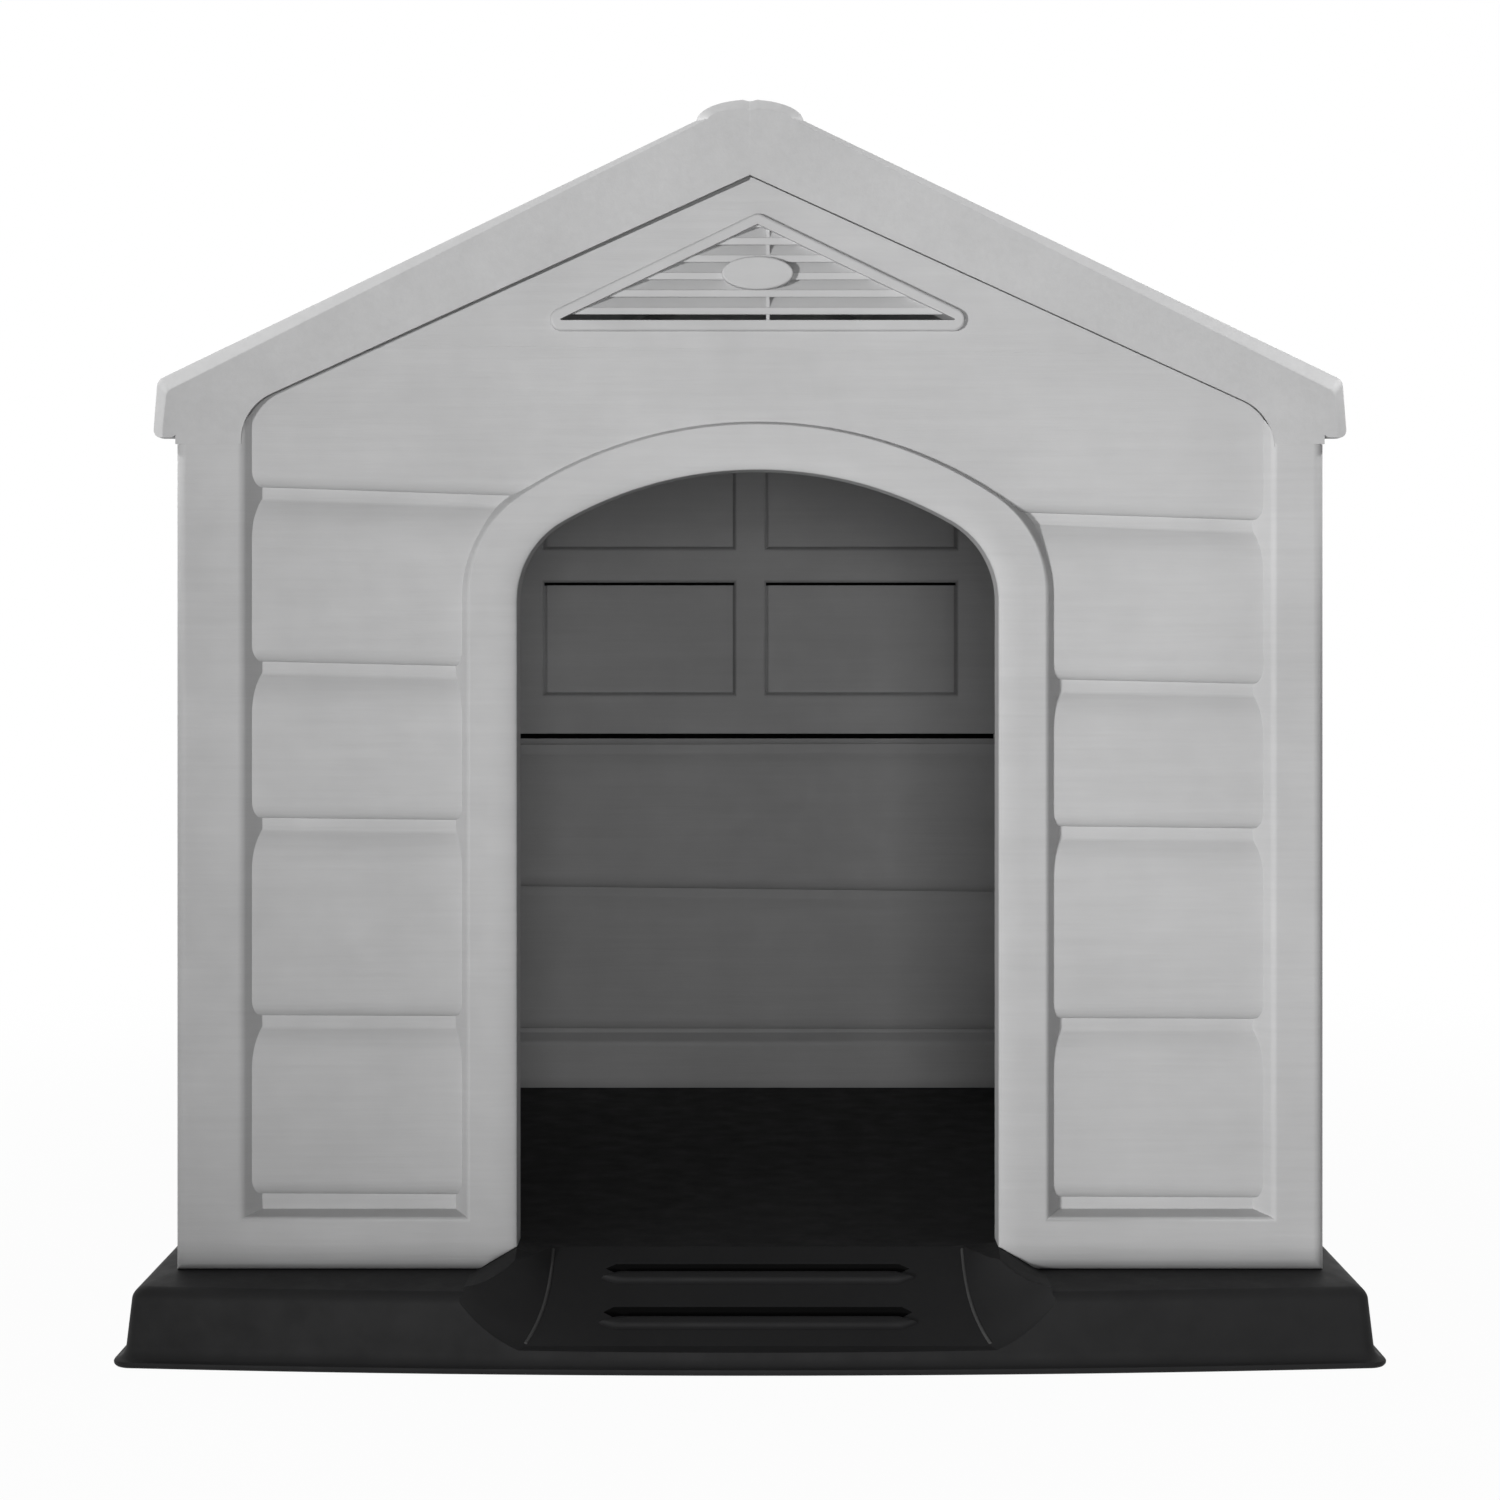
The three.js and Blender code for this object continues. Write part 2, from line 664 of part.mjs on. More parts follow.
const screwHeights = [bracketLow + bracketEnd, bracketHigh - bracketEnd];
const gableScrews = wallHalf - panelThickness - screwOffset;
const sideScrews = sideLength / 2 - screwOffset + fit;

const makeGableWall = (door, tongues) =>
  finishPanel(gableBody(0, door), gableBody(skin, door), tongues, gableScrews, reliefOffset(door));

const makeSideWall = () =>
  finishPanel(sideBody(0), sideBody(skin), tonguePlaces.side, sideScrews, null);

// ---- Base ----

// A level of the base: the rim outline drawn in by `inset`, with the front edge bowed by `bow`.
function baseOutline(inset, bow) {
  const half = baseHalf - inset;
  const front = frontFace - baseRimEnd + inset;
  const back = backFace + baseRimEnd - inset;
  return bowedOutline(half, front, back, bow, Math.max(baseCornerRadius - inset, smallCornerRadius));
}

function bowedOutline(half, front, back, bow, radius) {
  const corner = (x, y, from) => arc(x, y, radius, radius, from, from + 90, baseCornerSteps);
  const reach = half - radius;
  const edge = [];
  for (let i = 1; i < baseBowSteps; i++) {
    const x = -reach + (2 * reach * i) / baseBowSteps;
    edge.push([x, front - bow * (1 - (x / reach) ** 2)]);
  }
  return [
    ...corner(-reach, front + radius, 180),
    ...edge,
    ...corner(reach, front + radius, 270),
    ...corner(reach, back - radius, 0),
    ...corner(-reach, back - radius, 90),
  ];
}

// The raised floor inside the walls, with a tongue of it running out through the doorway.
function plateauOutline(inset) {
  const half = wallHalf - plateauFit - inset;
  const step = doorHalf - fit - inset;
  const sill = frontFace + inset;
  const front = frontFace + plateauFit + inset;
  const back = backFace - plateauFit - inset;
  const corners = [[half, front], [half, back]];
  const sillRight = [[doorOffset + step, sill], [doorOffset + step, front]];
  const sillLeft = [[doorOffset - step, front], [doorOffset - step, sill]];
  return [...sillRight, ...corners, ...mirrored(corners), ...sillLeft];
}

const wallLineOutline = (grow) =>
  bowedOutline(wallHalf + grow, frontFace - grow, backFace + grow, 0, smallCornerRadius);

function baseOutside() {
  const skirtFoot = rimWidth;
  const skirtTop = skirtFoot + skirtDraft;
  const halfWay = Math.SQRT1_2; // round the shoulder
  const levels = [
    [undersideLift, baseOutline(footWidth + rimEdge, baseBow)],
    [0, baseOutline(footWidth, baseBow)],
    [0, baseOutline(rimEdge, baseBow)],
    [rimEdge, baseOutline(0, baseBow)],
    [rimHeight - rimEdge, baseOutline(0, baseBow)],
    [rimHeight, baseOutline(rimEdge, baseBow)],
    [rimHeight, baseOutline(skirtFoot, baseBow)],
    [skirtHeight, baseOutline(skirtTop, baseBow)],
    [
      skirtHeight + shoulderRound * halfWay,
      baseOutline(skirtTop + shoulderRound * (1 - halfWay), baseBow),
    ],
    [shoulderHeight - shoulderDrop, baseOutline(skirtTop + shoulderRound, baseBow)],
    [shoulderHeight, wallLineOutline(fit)],
  ];
  const plateau = loft([
    { at: shoulderHeight - cutLap, outline: plateauOutline(0) },
    { at: floorHeight - rimEdge, outline: plateauOutline(0) },
    { at: floorHeight, outline: plateauOutline(rimEdge) },
  ], alongZ);
  return loft(levels.map(([at, outline]) => ({ at, outline })), alongZ).add(plateau);
}

function baseHollow() {
  const skirtFoot = rimWidth + skin;
  const levels = [
    [undersideLift + skin, baseOutline(footWidth + skin, baseBow)],
    [rimHeight, baseOutline(skirtFoot, baseBow)],
    [skirtHeight - skin, baseOutline(skirtFoot + skirtDraft, baseBow)],
    [shoulderHeight - shoulderDrop - skin, baseOutline(skirtFoot + skirtDraft + shoulderRound, baseBow)],
    [shoulderHeight - skin, wallLineOutline(0)],
  ];
  const underFloor = prism(plateauOutline(skin), shoulderHeight - cutLap - skin, floorHeight - skin, alongZ);
  return loft(levels.map(([at, outline]) => ({ at, outline })), alongZ).add(underFloor);
}

// The space over the ramp: flat along its foot, with flared, slightly hollow sides.
function rampCut(inset) {
  const section = (halfWidth, bottom, flare, flareTop) => {
    const top = floorHeight + cutLap;
    const low = bottom - inset;
    const half = halfWidth + inset;
    const right = [
      [half, low],
      [half + flare * rampCove, low + (flareTop - bottom) * (1 - rampCove)],
      [half + flare, flareTop],
      [half + flare, top],
    ];
    return shifted([...right, ...mirrored(right)], doorOffset);
  };
  const foot = rampCrest - rampRun;
  const tip = frontFace - baseRimEnd - baseBow - cutLap;
  const levels = [
    { at: rampCrest + inset, outline: section(rampTopWidth / 2, floorHeight, 1, floorHeight + 1) },
    { at: foot, outline: section(rampFootWidth / 2, rampFootHeight, rampFlare, skirtHeight) },
    { at: tip, outline: section(rampTipWidth / 2, rampTipHeight, rampFlare + cutLap, skirtHeight) },
  ];
  return loft(levels, alongY);
}

// A raised bar with a ridge along its middle and pointed ends, lying across the ramp.
function gripBar(place) {
  const fall = floorHeight - rampFootHeight;
  const tilt = Math.atan(fall / rampRun);
  const hexagon = (across, reach) => {
    const shoulder = reach - gripBarPoint;
    const right = [[shoulder, -across], [reach, 0], [shoulder, across]];
    return [...right, ...right.map(([u, v]) => [-u, -v])];
  };
  const half = gripBarLength / 2;
  const base = hexagon(gripBarWidth / 2, half);
  const levels = [
    { at: -gripBarHeight, outline: base },
    { at: 0, outline: base },
    { at: gripBarHeight, outline: hexagon(gripBarRidge / 2, half - gripBarPoint) },
  ];
  const onRamp = (across, up, proud) => [
    across + doorOffset,
    rampCrest - rampRun * place + up * Math.cos(tilt) - proud * Math.sin(tilt),
    floorHeight - fall * place + up * Math.sin(tilt) + proud * Math.cos(tilt),
  ];
  return loft(levels, onRamp);
}

function tongueSlots(grow) {
  const middle = panelThickness / 2;
  const length = tongueLength / 2 + fit + grow;
  const half = tongueThickness / 2 + fit + grow;
  const low = wallFoot - tongueDrop - fit - grow;
  const high = shoulderHeight + cutLap;
  const across = (x, y) => box([x - length, y - half, low], [x + length, y + half, high]);
  const along = (x, y) => box([x - half, y - length, low], [x + half, y + length, high]);
  return [
    ...tonguePlaces.front.map((x) => across(x, frontFace + middle)),
    ...tonguePlaces.back.map((x) => across(x, backFace - middle)),
    ...tonguePlaces.side.flatMap((y) =>
      [-1, 1].map((side) => along(side * (wallHalf - middle), sideCentre + y)),
    ),
  ].reduce((all, slot) => all.add(slot));
}

function makeBase() {
  const underRamp = baseHollow().subtract(rampCut(skin)).subtract(tongueSlots(skin));
  let body = baseOutside().subtract(rampCut(0));
  for (const place of gripBarPlaces) body = body.add(gripBar(place));
  body = body.subtract(underRamp).subtract(tongueSlots(0));
  const drain = [0, sideCentre, undersideLift - cutLap];
  return mainBody(body.subtract(bar(drainRadius, 2 * cutLap + skin, drain, [0, 0, 1])));
}

// ---- Roof ----

// The right-hand half of the roof's outer line from the ridge to the lip, drawn in by `inset`.
function halfRoofLine(inset) {
  const rollHalf = rollHalfWidth - inset;
  const slope = (x) => ridgeHeight - pitchSlope * x - inset * pitchStretch;
  const roll = arc(0, rollCentreHeight, rollHalf, rollRise - inset, 90, 0, rollSteps)
    .slice(2)
    .map(([x, z]) => [x, Math.max(z, slope(x))]);
  const crown = rollCentreHeight + rollRise - inset;
  return [
    [0, crown - rollDip],
    [rollDipHalf, crown],
    [2 * rollDipHalf, crown],
    ...roll,
    [eaveTopHalf - inset - edgeRadius, slope(eaveTopHalf - edgeRadius)],
    [eaveTopHalf - inset, eaveHeight - edgeRadius / 2 - inset],
    [lipHalf - inset, lipHeight],
  ];
}

function roofEnvelope(inset) {
  const front = frontFace + inset;
  const back = backFace - inset;
  const line = (back) => {
    const right = [...halfRoofLine(inset + back), [lipHalf - inset - back, fasciaFoot - cutLap]];
    return [...right, ...mirrored(right.slice(1))];
  };
  const steps = edgeSteps(edgeRadius);
  return loft([
    ...steps.map(({ depth, back: drawn }) => ({ at: front + depth, outline: line(drawn) })),
    ...steps.toReversed().map(({ depth, back: drawn }) => ({ at: back - depth, outline: line(drawn) })),
  ], alongY);
}

// The outline that the bargeboards fill, and the lips between them.
function fasciaOutline(inset) {
  const foot = fasciaFoot + inset;
  const lipSlope = lipRound / lipTaper;
  const right = [
    ...halfFasciaEdge(-inset).toReversed(),
    [wallHalf - postWidth + inset, foot],
    [wallHalf - inset, foot],
    [wallHalf - inset, lipHeight + lipInnerRise + inset],
    [lipHalf - lipTaper - inset, lipHeight - lipRound + inset],
    [lipHalf + cutLap - inset, lipHeight + inset + cutLap * lipSlope],
    [lipHalf + cutLap, ridgeHeight + cutLap],
  ];
  return [...right, ...mirrored(right.slice(1))];
}

function houseSpace(inset) {
  const half = wallHalf + eaveClearance + inset;
  const top = (x) => undersideOfRoof(x) + inset * pitchStretch;
  const low = fasciaFoot - 2 * cutLap;
  const outline = [[-half, low], [half, low], [half, top(half)], [0, top(0)], [-half, top(half)]];
  return prism(outline, frontFace + fasciaDepth + inset, backFace - fasciaDepth - inset, alongY);
}

function roofCourses(side, inset) {
  const pitch = (courseLast - courseFirst) / courseCount;
  const surface = (x, down) => ridgeHeight - pitchSlope * x - down * pitchStretch;
  const from = frontFace + courseMargin - inset;
  const to = backFace - courseMargin + inset;
  return Array.from({ length: courseCount }, (_, i) => {
    const high = courseFirst + pitch * i - inset;
    const low = courseFirst + pitch * (i + 1);
    const outline = [
      [side * high, surface(high, -cutLap)],
      [side * high, surface(high, courseDepth + inset)],
      [side * low, surface(low, courseTip + inset)],
      [side * low, surface(low, -cutLap)],
    ];
    return prism(outline, from, to, alongY);
  }).reduce((all, course) => all.add(course));
}

function roofBody(inset) {
  return roofEnvelope(inset)
    .intersect(prism(fasciaOutline(inset), frontFace - cutLap, backFace + cutLap, alongY))
    .subtract(houseSpace(inset))
    .subtract(roofCourses(1, inset))
    .subtract(roofCourses(-1, inset));
}

const ridgeBoltHeight = undersideOfRoof(0) - ridgeFlangeHeight + ridgeBoltRise;
const flangeFront = frontFace + panelThickness + ridgeFlangeGap;
const flangeBack = backFace - panelThickness - ridgeFlangeGap;
const ridgeBoltPlaces = Array.from(
  { length: ridgeBoltCount },
  (_, i) =>
    flangeFront + ridgeBoltInset +
    ((flangeBack - flangeFront - 2 * ridgeBoltInset) * i) / (ridgeBoltCount - 1),
);

function makeRoofHalf(side) {
  const reach = lipHalf + cutLap;
  const half = (gap) => {
    const [near, far] = [side * gap, side * reach];
    return box(
      [Math.min(near, far), frontFace - cutLap, fasciaFoot - cutLap],
      [Math.max(near, far), backFace + cutLap, ridgeHeight + cutLap],
    );
  };
  const flange = box(
    [-ridgeFlangeWidth, flangeFront, undersideOfRoof(0) - ridgeFlangeHeight],
    [ridgeFlangeWidth, flangeBack, undersideOfRoof(0) + skin / 2],
  );
  const midSlope = wallHalf / 2;
  const blowHole = [side * midSlope, sideCentre, undersideOfRoof(midSlope) - cutLap];
  const hollow = roofBody(skin).intersect(half(fit / 2 + skin));
  let body = roofBody(0).add(flange).intersect(half(fit / 2)).subtract(hollow);
  body = body.subtract(bar(drainRadius, 2 * cutLap + skin, blowHole, [0, 0, 1]));
  for (const y of ridgeBoltPlaces) {
    const start = [-ridgeFlangeWidth - cutLap, y, ridgeBoltHeight];
    body = body.subtract(bar(boltHoleRadius, 2 * (ridgeFlangeWidth + cutLap), start, [1, 0, 0]));
  }
  return mainBody(body);
}

// ---- Vents ----
// A vent stands in the frame of the panel that holds it.

function makeVent() {
  const opening = ventOutline(ventRingRadius - ventRingWidth);
  const skirtEnd = outerCrest + ventSkirtDepth;
  const face = outerCrest - ventProud;
  const seat = outerCrest - fit;
  const ring = prism(ventOutline(ventRingRadius), face, seat, alongY);
  const skirt = prism(ventOutline(ventHoleGrow - fit), seat - webLap, skirtEnd, alongY);
  const frame = ring.add(skirt).subtract(prism(opening, face - cutLap, skirtEnd + cutLap, alongY));
  const filler = prism(ventOutline(ventRingRadius - ventRingWidth + slatLap / 2), face, skirtEnd, alongY);
  const slats = Array.from({ length: slatCount }, (_, i) => {
    const low = ventBottom + slatFirst + slatPitch * i;
    const [near, far] = [face + slatInset, face + slatInset + slatDepth];
    const section = [
      [near, low],
      [far, low + slatRise],
      [far, low + slatRise + slatThickness],
      [near, low + slatThickness],
    ];
    return prism(section, -ventHalf - slatLap, ventHalf + slatLap, alongX);
  }).reduce((all, slat) => all.add(slat));
  const ribLow = [ventRibOffset - ventRibWidth / 2, face + 2 * slatInset, ventBottom - slatLap];
  const ribHigh = [ventRibOffset + ventRibWidth / 2, face + ventRibDepth, ridgeHeight];
  const louvres = slats.add(box(ribLow, ribHigh)).intersect(filler);
  const oval = arc(0, bossHeight, bossHalfWidth, bossHalfHeight, 0, 360, bossSides).slice(0, -1);
  return frame.add(louvres).add(prism(oval, face, face + bossDepth, alongY));
}

// ---- Brackets and fasteners ----

// A screw or bolt from its head's outer face, lying along +Z until it is placed.
function turned(profile, sides) {
  const points = profile.map(([r, z]) => new THREE.Vector2(r, z));
  return new THREE.LatheGeometry(points, sides).rotateX(Math.PI / 2);
}

const screwGeometry = () =>
  turned([
    [0, 0],
    [screwHeadRadius * headTaper, 0],
    [screwHeadRadius, screwHeadHeight * headEdge],
    [screwHeadRadius, screwHeadHeight],
    [screwShankRadius, screwHeadHeight],
    [screwShankRadius, screwLength - screwShankRadius],
    [0, screwLength],
  ], screwSides);

const boltLength = 2 * (ridgeFlangeWidth + fit + boltHeadHeight) + nutHeight;
const boltGeometry = () =>
  turned([
    [0, 0],
    [boltHeadRadius * headTaper, 0],
    [boltHeadRadius, boltHeadHeight * headEdge],
    [boltHeadRadius, boltHeadHeight],
    [boltRadius, boltHeadHeight],
    [boltRadius, boltLength],
    [0, boltLength],
  ], screwSides);

function nutGeometry() {
  const outside = bar(nutRadius, nutHeight, [0, 0, 0], [0, 0, 1], nutSides);
  const bore = bar(boltRadius + fit / 2, nutHeight + 2 * cutLap, [0, 0, -cutLap], [0, 0, 1]);
  return toGeometry(outside.subtract(bore));
}

// An angle of two legs with its outer corner at the origin and its legs along +X and +Y.
function bracketGeometry() {
  const [leg, thick] = [bracketLeg, bracketThickness];
  const outline = [[0, 0], [leg, 0], [leg, thick], [thick, thick], [thick, leg], [0, leg]];
  let body = prism(outline, bracketLow, bracketHigh, alongZ);
  const hole = screwOffset - fit;
  for (const z of screwHeights) {
    body = body
      .subtract(bar(screwHoleRadius, thick + 2 * cutLap, [hole, -cutLap, z], [0, 1, 0]))
      .subtract(bar(screwHoleRadius, thick + 2 * cutLap, [-cutLap, hole, z], [1, 0, 0]));
  }
  return toGeometry(body);
}

// ---- Assembly ----

function toGeometry(manifold) {
  const mesh = manifold.getMesh();
  const geometry = new THREE.BufferGeometry();
  geometry.setAttribute("position", new THREE.Float32BufferAttribute(mesh.vertProperties, 3));
  geometry.setIndex(Array.from(mesh.triVerts));
  geometry.computeVertexNormals();
  return geometry;
}

const greyPlastic = { color: 0xb9b9b9, roughness: 0.62, metalness: 0 };
const blackPlastic = { color: 0x262626, roughness: 0.55, metalness: 0 };
const darkFixing = { color: 0x3a3a3a, roughness: 0.5, metalness: 0 };

const house = new THREE.Group();

function addPiece(name, geometry, look, parent = house) {
  const mesh = new THREE.Mesh(geometry, new THREE.MeshStandardMaterial(look));
  mesh.name = name;
  parent.add(mesh);
  return mesh;
}

function addFrame(x, y, turn) {
  const frame = new THREE.Group();
  frame.position.set(x, y, 0);
  frame.rotation.z = turn;
  house.add(frame);
  return frame;
}

addPiece("base", toGeometry(makeBase()), blackPlastic);

const frontFrame = addFrame(0, frontFace, 0);
const backFrame = addFrame(0, backFace, Math.PI);
const leftFrame = addFrame(-wallHalf, sideCentre, -Math.PI / 2);
const rightFrame = addFrame(wallHalf, sideCentre, Math.PI / 2);
addPiece("front_wall", toGeometry(makeGableWall(true, tonguePlaces.front)), greyPlastic, frontFrame);
addPiece("back_wall", toGeometry(makeGableWall(false, tonguePlaces.back)), greyPlastic, backFrame);
addPiece("left_wall", toGeometry(makeSideWall()), greyPlastic, leftFrame);
addPiece("right_wall", toGeometry(makeSideWall()), greyPlastic, rightFrame);
addPiece("front_vent", toGeometry(makeVent()), greyPlastic, frontFrame).position.x = doorOffset;
addPiece("back_vent", toGeometry(makeVent()), greyPlastic, backFrame);
addPiece("roof_left", toGeometry(makeRoofHalf(-1)), greyPlastic);
addPiece("roof_right", toGeometry(makeRoofHalf(1)), greyPlastic);

// Corner brackets, turned so that their legs run along the two walls that meet there.
const innerX = wallHalf - panelThickness;
const innerFront = frontFace + panelThickness;
const innerBack = backFace - panelThickness;
const corners = [
  { name: "front_left", x: -innerX, y: innerFront, turn: 0 },
  { name: "front_right", x: innerX, y: innerFront, turn: Math.PI / 2 },
  { name: "back_right", x: innerX, y: innerBack, turn: Math.PI },
  { name: "back_left", x: -innerX, y: innerBack, turn: -Math.PI / 2 },
];
const headSeat = bracketThickness + 2 * fit + screwHeadHeight;
for (const { name, x, y, turn } of corners) {
  const frame = addFrame(x, y, turn);
  const bracket = addPiece(`${name}_bracket`, bracketGeometry(), blackPlastic, frame);
  bracket.position.set(fit, fit, 0);
  screwHeights.forEach((z, i) => {
    const level = i === 0 ? "low" : "high";
    const onFirst = addPiece(`${name}_screw_a_${level}`, screwGeometry(), darkFixing, frame);
    onFirst.position.set(screwOffset, headSeat, z);
    onFirst.rotation.x = Math.PI / 2;
    const onSecond = addPiece(`${name}_screw_b_${level}`, screwGeometry(), darkFixing, frame);
    onSecond.position.set(headSeat, screwOffset, z);
    onSecond.rotation.y = -Math.PI / 2;
  });
}

ridgeBoltPlaces.forEach((y, i) => {
  const bolt = addPiece(`ridge_bolt_${i + 1}`, boltGeometry(), darkFixing);
  bolt.position.set(-ridgeFlangeWidth - fit - boltHeadHeight, y, ridgeBoltHeight);
  bolt.rotation.y = Math.PI / 2;
  const nut = addPiece(`ridge_nut_${i + 1}`, nutGeometry(), darkFixing);
  nut.position.set(ridgeFlangeWidth + fit, y, ridgeBoltHeight);
  nut.rotation.y = Math.PI / 2;
});

export default house;
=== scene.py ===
"""A moulded plastic dog house in a pale studio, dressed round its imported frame.

Sizes are in millimetres until a point is placed. +Z is up and the doorway faces -Y.
A panel is modelled in its own frame: its outer face at 0 and its depth along +Y.
"""
import math

import bmesh
import bpy
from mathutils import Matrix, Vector


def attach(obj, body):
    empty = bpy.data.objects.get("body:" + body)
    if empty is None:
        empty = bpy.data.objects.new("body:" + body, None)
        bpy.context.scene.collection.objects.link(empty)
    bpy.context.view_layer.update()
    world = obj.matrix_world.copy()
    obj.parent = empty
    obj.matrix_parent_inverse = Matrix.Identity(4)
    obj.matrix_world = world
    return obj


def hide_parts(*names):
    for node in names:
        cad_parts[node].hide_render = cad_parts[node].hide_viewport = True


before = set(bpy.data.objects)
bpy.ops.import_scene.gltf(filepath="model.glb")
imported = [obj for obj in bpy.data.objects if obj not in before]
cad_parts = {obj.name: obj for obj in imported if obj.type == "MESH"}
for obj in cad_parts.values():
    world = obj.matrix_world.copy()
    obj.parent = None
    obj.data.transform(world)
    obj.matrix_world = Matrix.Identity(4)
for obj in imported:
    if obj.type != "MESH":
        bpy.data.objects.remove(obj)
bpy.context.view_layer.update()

MM = 0.001

# ---- Camera, in metres ----

CAMERA_PLACE = (0, -2.5, 0.552)
CAMERA_LENS = 64.8
CAMERA_SHIFT = -0.0733

camera = bpy.data.objects.new("camera", bpy.data.cameras.new("camera"))
bpy.context.scene.collection.objects.link(camera)
camera.location = CAMERA_PLACE
camera.rotation_euler = (math.radians(90), 0, 0)
camera.data.lens = CAMERA_LENS
camera.data.shift_y = CAMERA_SHIFT
bpy.context.scene.camera = camera

# ---- Sizes shared by the pieces ----

FIT = 0.3  # room between pieces that seat on each other
PAST = 5  # how far a cutting shape runs on past what it cuts

WALL_HALF = 447
WALL_THICK = 40
WALL_FOOT = 61.3
FRONT, BACK = -400, 425  # outer faces of the gable walls
SIDE_CENTRE = (FRONT + BACK) / 2
SIDE_LENGTH = 744.4
EDGE = 9  # round outer edges of the walls
RELIEF = 6  # the doorway and what goes with it lie this far right of the middle

PITCH_ANGLE = 25.7
PITCH = math.tan(math.radians(PITCH_ANGLE))
STRETCH = 1 / math.cos(math.radians(PITCH_ANGLE))
RIDGE = 978.5  # where the roof's two slopes would meet
ROOF_THICK = 40
EAVE_HALF = WALL_HALF + 15.5
EAVE = 756.6
LIP_HALF = WALL_HALF + 19.5
LIP = EAVE - 40

FASCIA_FOOT = EAVE - 52
FASCIA_TOP = RIDGE - ROOF_THICK - 24.5
FASCIA_SLOPE = math.tan(math.radians(24.55))
FASCIA_DEPTH = 18
FASCIA_ROUND = 40  # radius at the foot of a bargeboard

POST = 402  # from the middle to the posts beside the boards
RECESS_FOOT = 102.5
RECESS = 17  # depth behind the boards
CREST = 8.2  # depth of the boards' fronts
MOUTH, MOUTH_SINK = 3.5, 3  # width and depth of a recess's round edge
POST_DRAFT, FOOT_DRAFT, TRIM_DRAFT = 0.75, 0.22, 0.66  # drawn in, per millimetre of depth

INNER_RECESS, INNER_CREST, INNER_MOUTH = 12, 6, 4
INNER_POST, INNER_TOP = 80, 40  # widths of the plain frame inside
INNER_FOOT = 122

BOARD_REACH = 423
GROOVE = 8.5  # between a board and the next one up
LOW_ROUND, HIGH_ROUND = 13, 34  # how far the curves at a board's two edges run
GABLE_JOINTS = [(118.5, 115), (258, 255), (413, 404), (536, 517), (673, 645), (960, 960)]
BACK_INNER_JOINTS = [(134, 136), (280, 290), (441, 439), (585, 590), (735, 735), (960, 960)]
SIDE_JOINTS = [(116, 120), (255, 258), (404, 413), (517, 536), (720, 720)]

DOOR_HALF, DOOR_CROWN = 187.5, 684.7
DOOR_CROWN_RADIUS, DOOR_SHOULDER_RADIUS = 305, 71
TRIM_HALF, TRIM_CROWN = 225.5, 720.5
TRIM_CROWN_RADIUS, TRIM_SHOULDER_RADIUS = 334, 90
FOOT_START, FOOT_RADIUS, FOOT_ANGLE = 223, 14, 30  # the wall's foot beside the doorway

VENT_FOOT = FASCIA_TOP - 112
VENT_HALF = 153
VENT_RIM = 9  # from the centres of the corners out to the edge

FLOOR = 74
SKIRT_INSET = 12  # from the rim's edge in to the top of the skirt
SKIRT_TOP = 47.5
RAMP_START, RAMP_RUN, RAMP_FALL = FRONT + 29, 87, 56


def underside(x):
    return RIDGE - ROOF_THICK - PITCH * abs(x)


def slope(x, down):
    """The height of the roof's surface at x, or of a line this far under it."""
    return RIDGE - PITCH * x - down * STRETCH


def fascia_line(x):
    return FASCIA_TOP - FASCIA_SLOPE * abs(x)


# ---- Outlines, as lists of (across, up) ----

def mirrored(points):
    return [(-u, v) for u, v in reversed(points)]


def shifted(points, offset):
    return [(u + offset, v) for u, v in points]


def sided(points, side):
    """The points as they are for side 1, and their mirror image for side -1."""
    return [(side * u, v) for u, v in points]


def arc(centre, radii, start, end, steps):
    points = []
    for i in range(steps + 1):
        angle = math.radians(start + (end - start) * i / steps)
        points.append((centre[0] + radii[0] * math.cos(angle), centre[1] + radii[1] * math.sin(angle)))
    return points


def circle(radius, sides):
    return arc((0, 0), (radius, radius), 0, 360, sides)[:-1]


def half_arch(half, crown, crown_radius, shoulder_radius, steps=14):
    """The right half of an arch of two radii, from its spring up to the middle."""
    across = half - shoulder_radius
    reach = crown_radius - shoulder_radius
    spring = crown - crown_radius + math.sqrt(reach ** 2 - across ** 2)
    turn = math.degrees(math.acos(across / reach))
    shoulder = arc((across, spring), (shoulder_radius,) * 2, 0, turn, steps)
    top = arc((0, crown - crown_radius), (crown_radius,) * 2, turn, 90, steps)
    return shoulder + top[1:]


def rounded(before, corner, after, radius, steps):
    """The arc that replaces one corner of an outline."""
    tip = Vector(corner)
    one, two = (Vector(before) - tip).normalized(), (Vector(after) - tip).normalized()
    half = one.angle(two) / 2
    centre = tip + (one + two).normalized() * radius / math.sin(half)
    start = tip + one * radius / math.tan(half) - centre
    end = tip + two * radius / math.tan(half) - centre
    sweep = math.atan2(start.x * end.y - start.y * end.x, start.dot(end))
    points = []
    for i in range(steps + 1):
        angle = sweep * i / steps
        cosine, sine = math.cos(angle), math.sin(angle)
        points.append((centre.x + start.x * cosine - start.y * sine,
                       centre.y + start.x * sine + start.y * cosine))
    return points


def round_steps(width, depth, steps=8):
    """A quarter-round edge: (depth below the face, how far the outline draws back)."""
    angles = [math.pi / 2 * i / steps for i in range(steps + 1)]
    return [(depth * (1 - math.cos(a)), width * (1 - math.sin(a))) for a in angles]


# ---- Modelling by hand ----

def along_x(u, v, w):
    return Vector((w, u, v)) * MM


def along_y(u, v, w):
    return Vector((u, w, v)) * MM


def along_z(u, v, w):
    return Vector((u, v, w)) * MM


def nothing_selected():
    bpy.ops.object.select_all(action="DESELECT")


def work_on(obj):
    nothing_selected()
    obj.select_set(True)
    bpy.context.view_layer.objects.active = obj


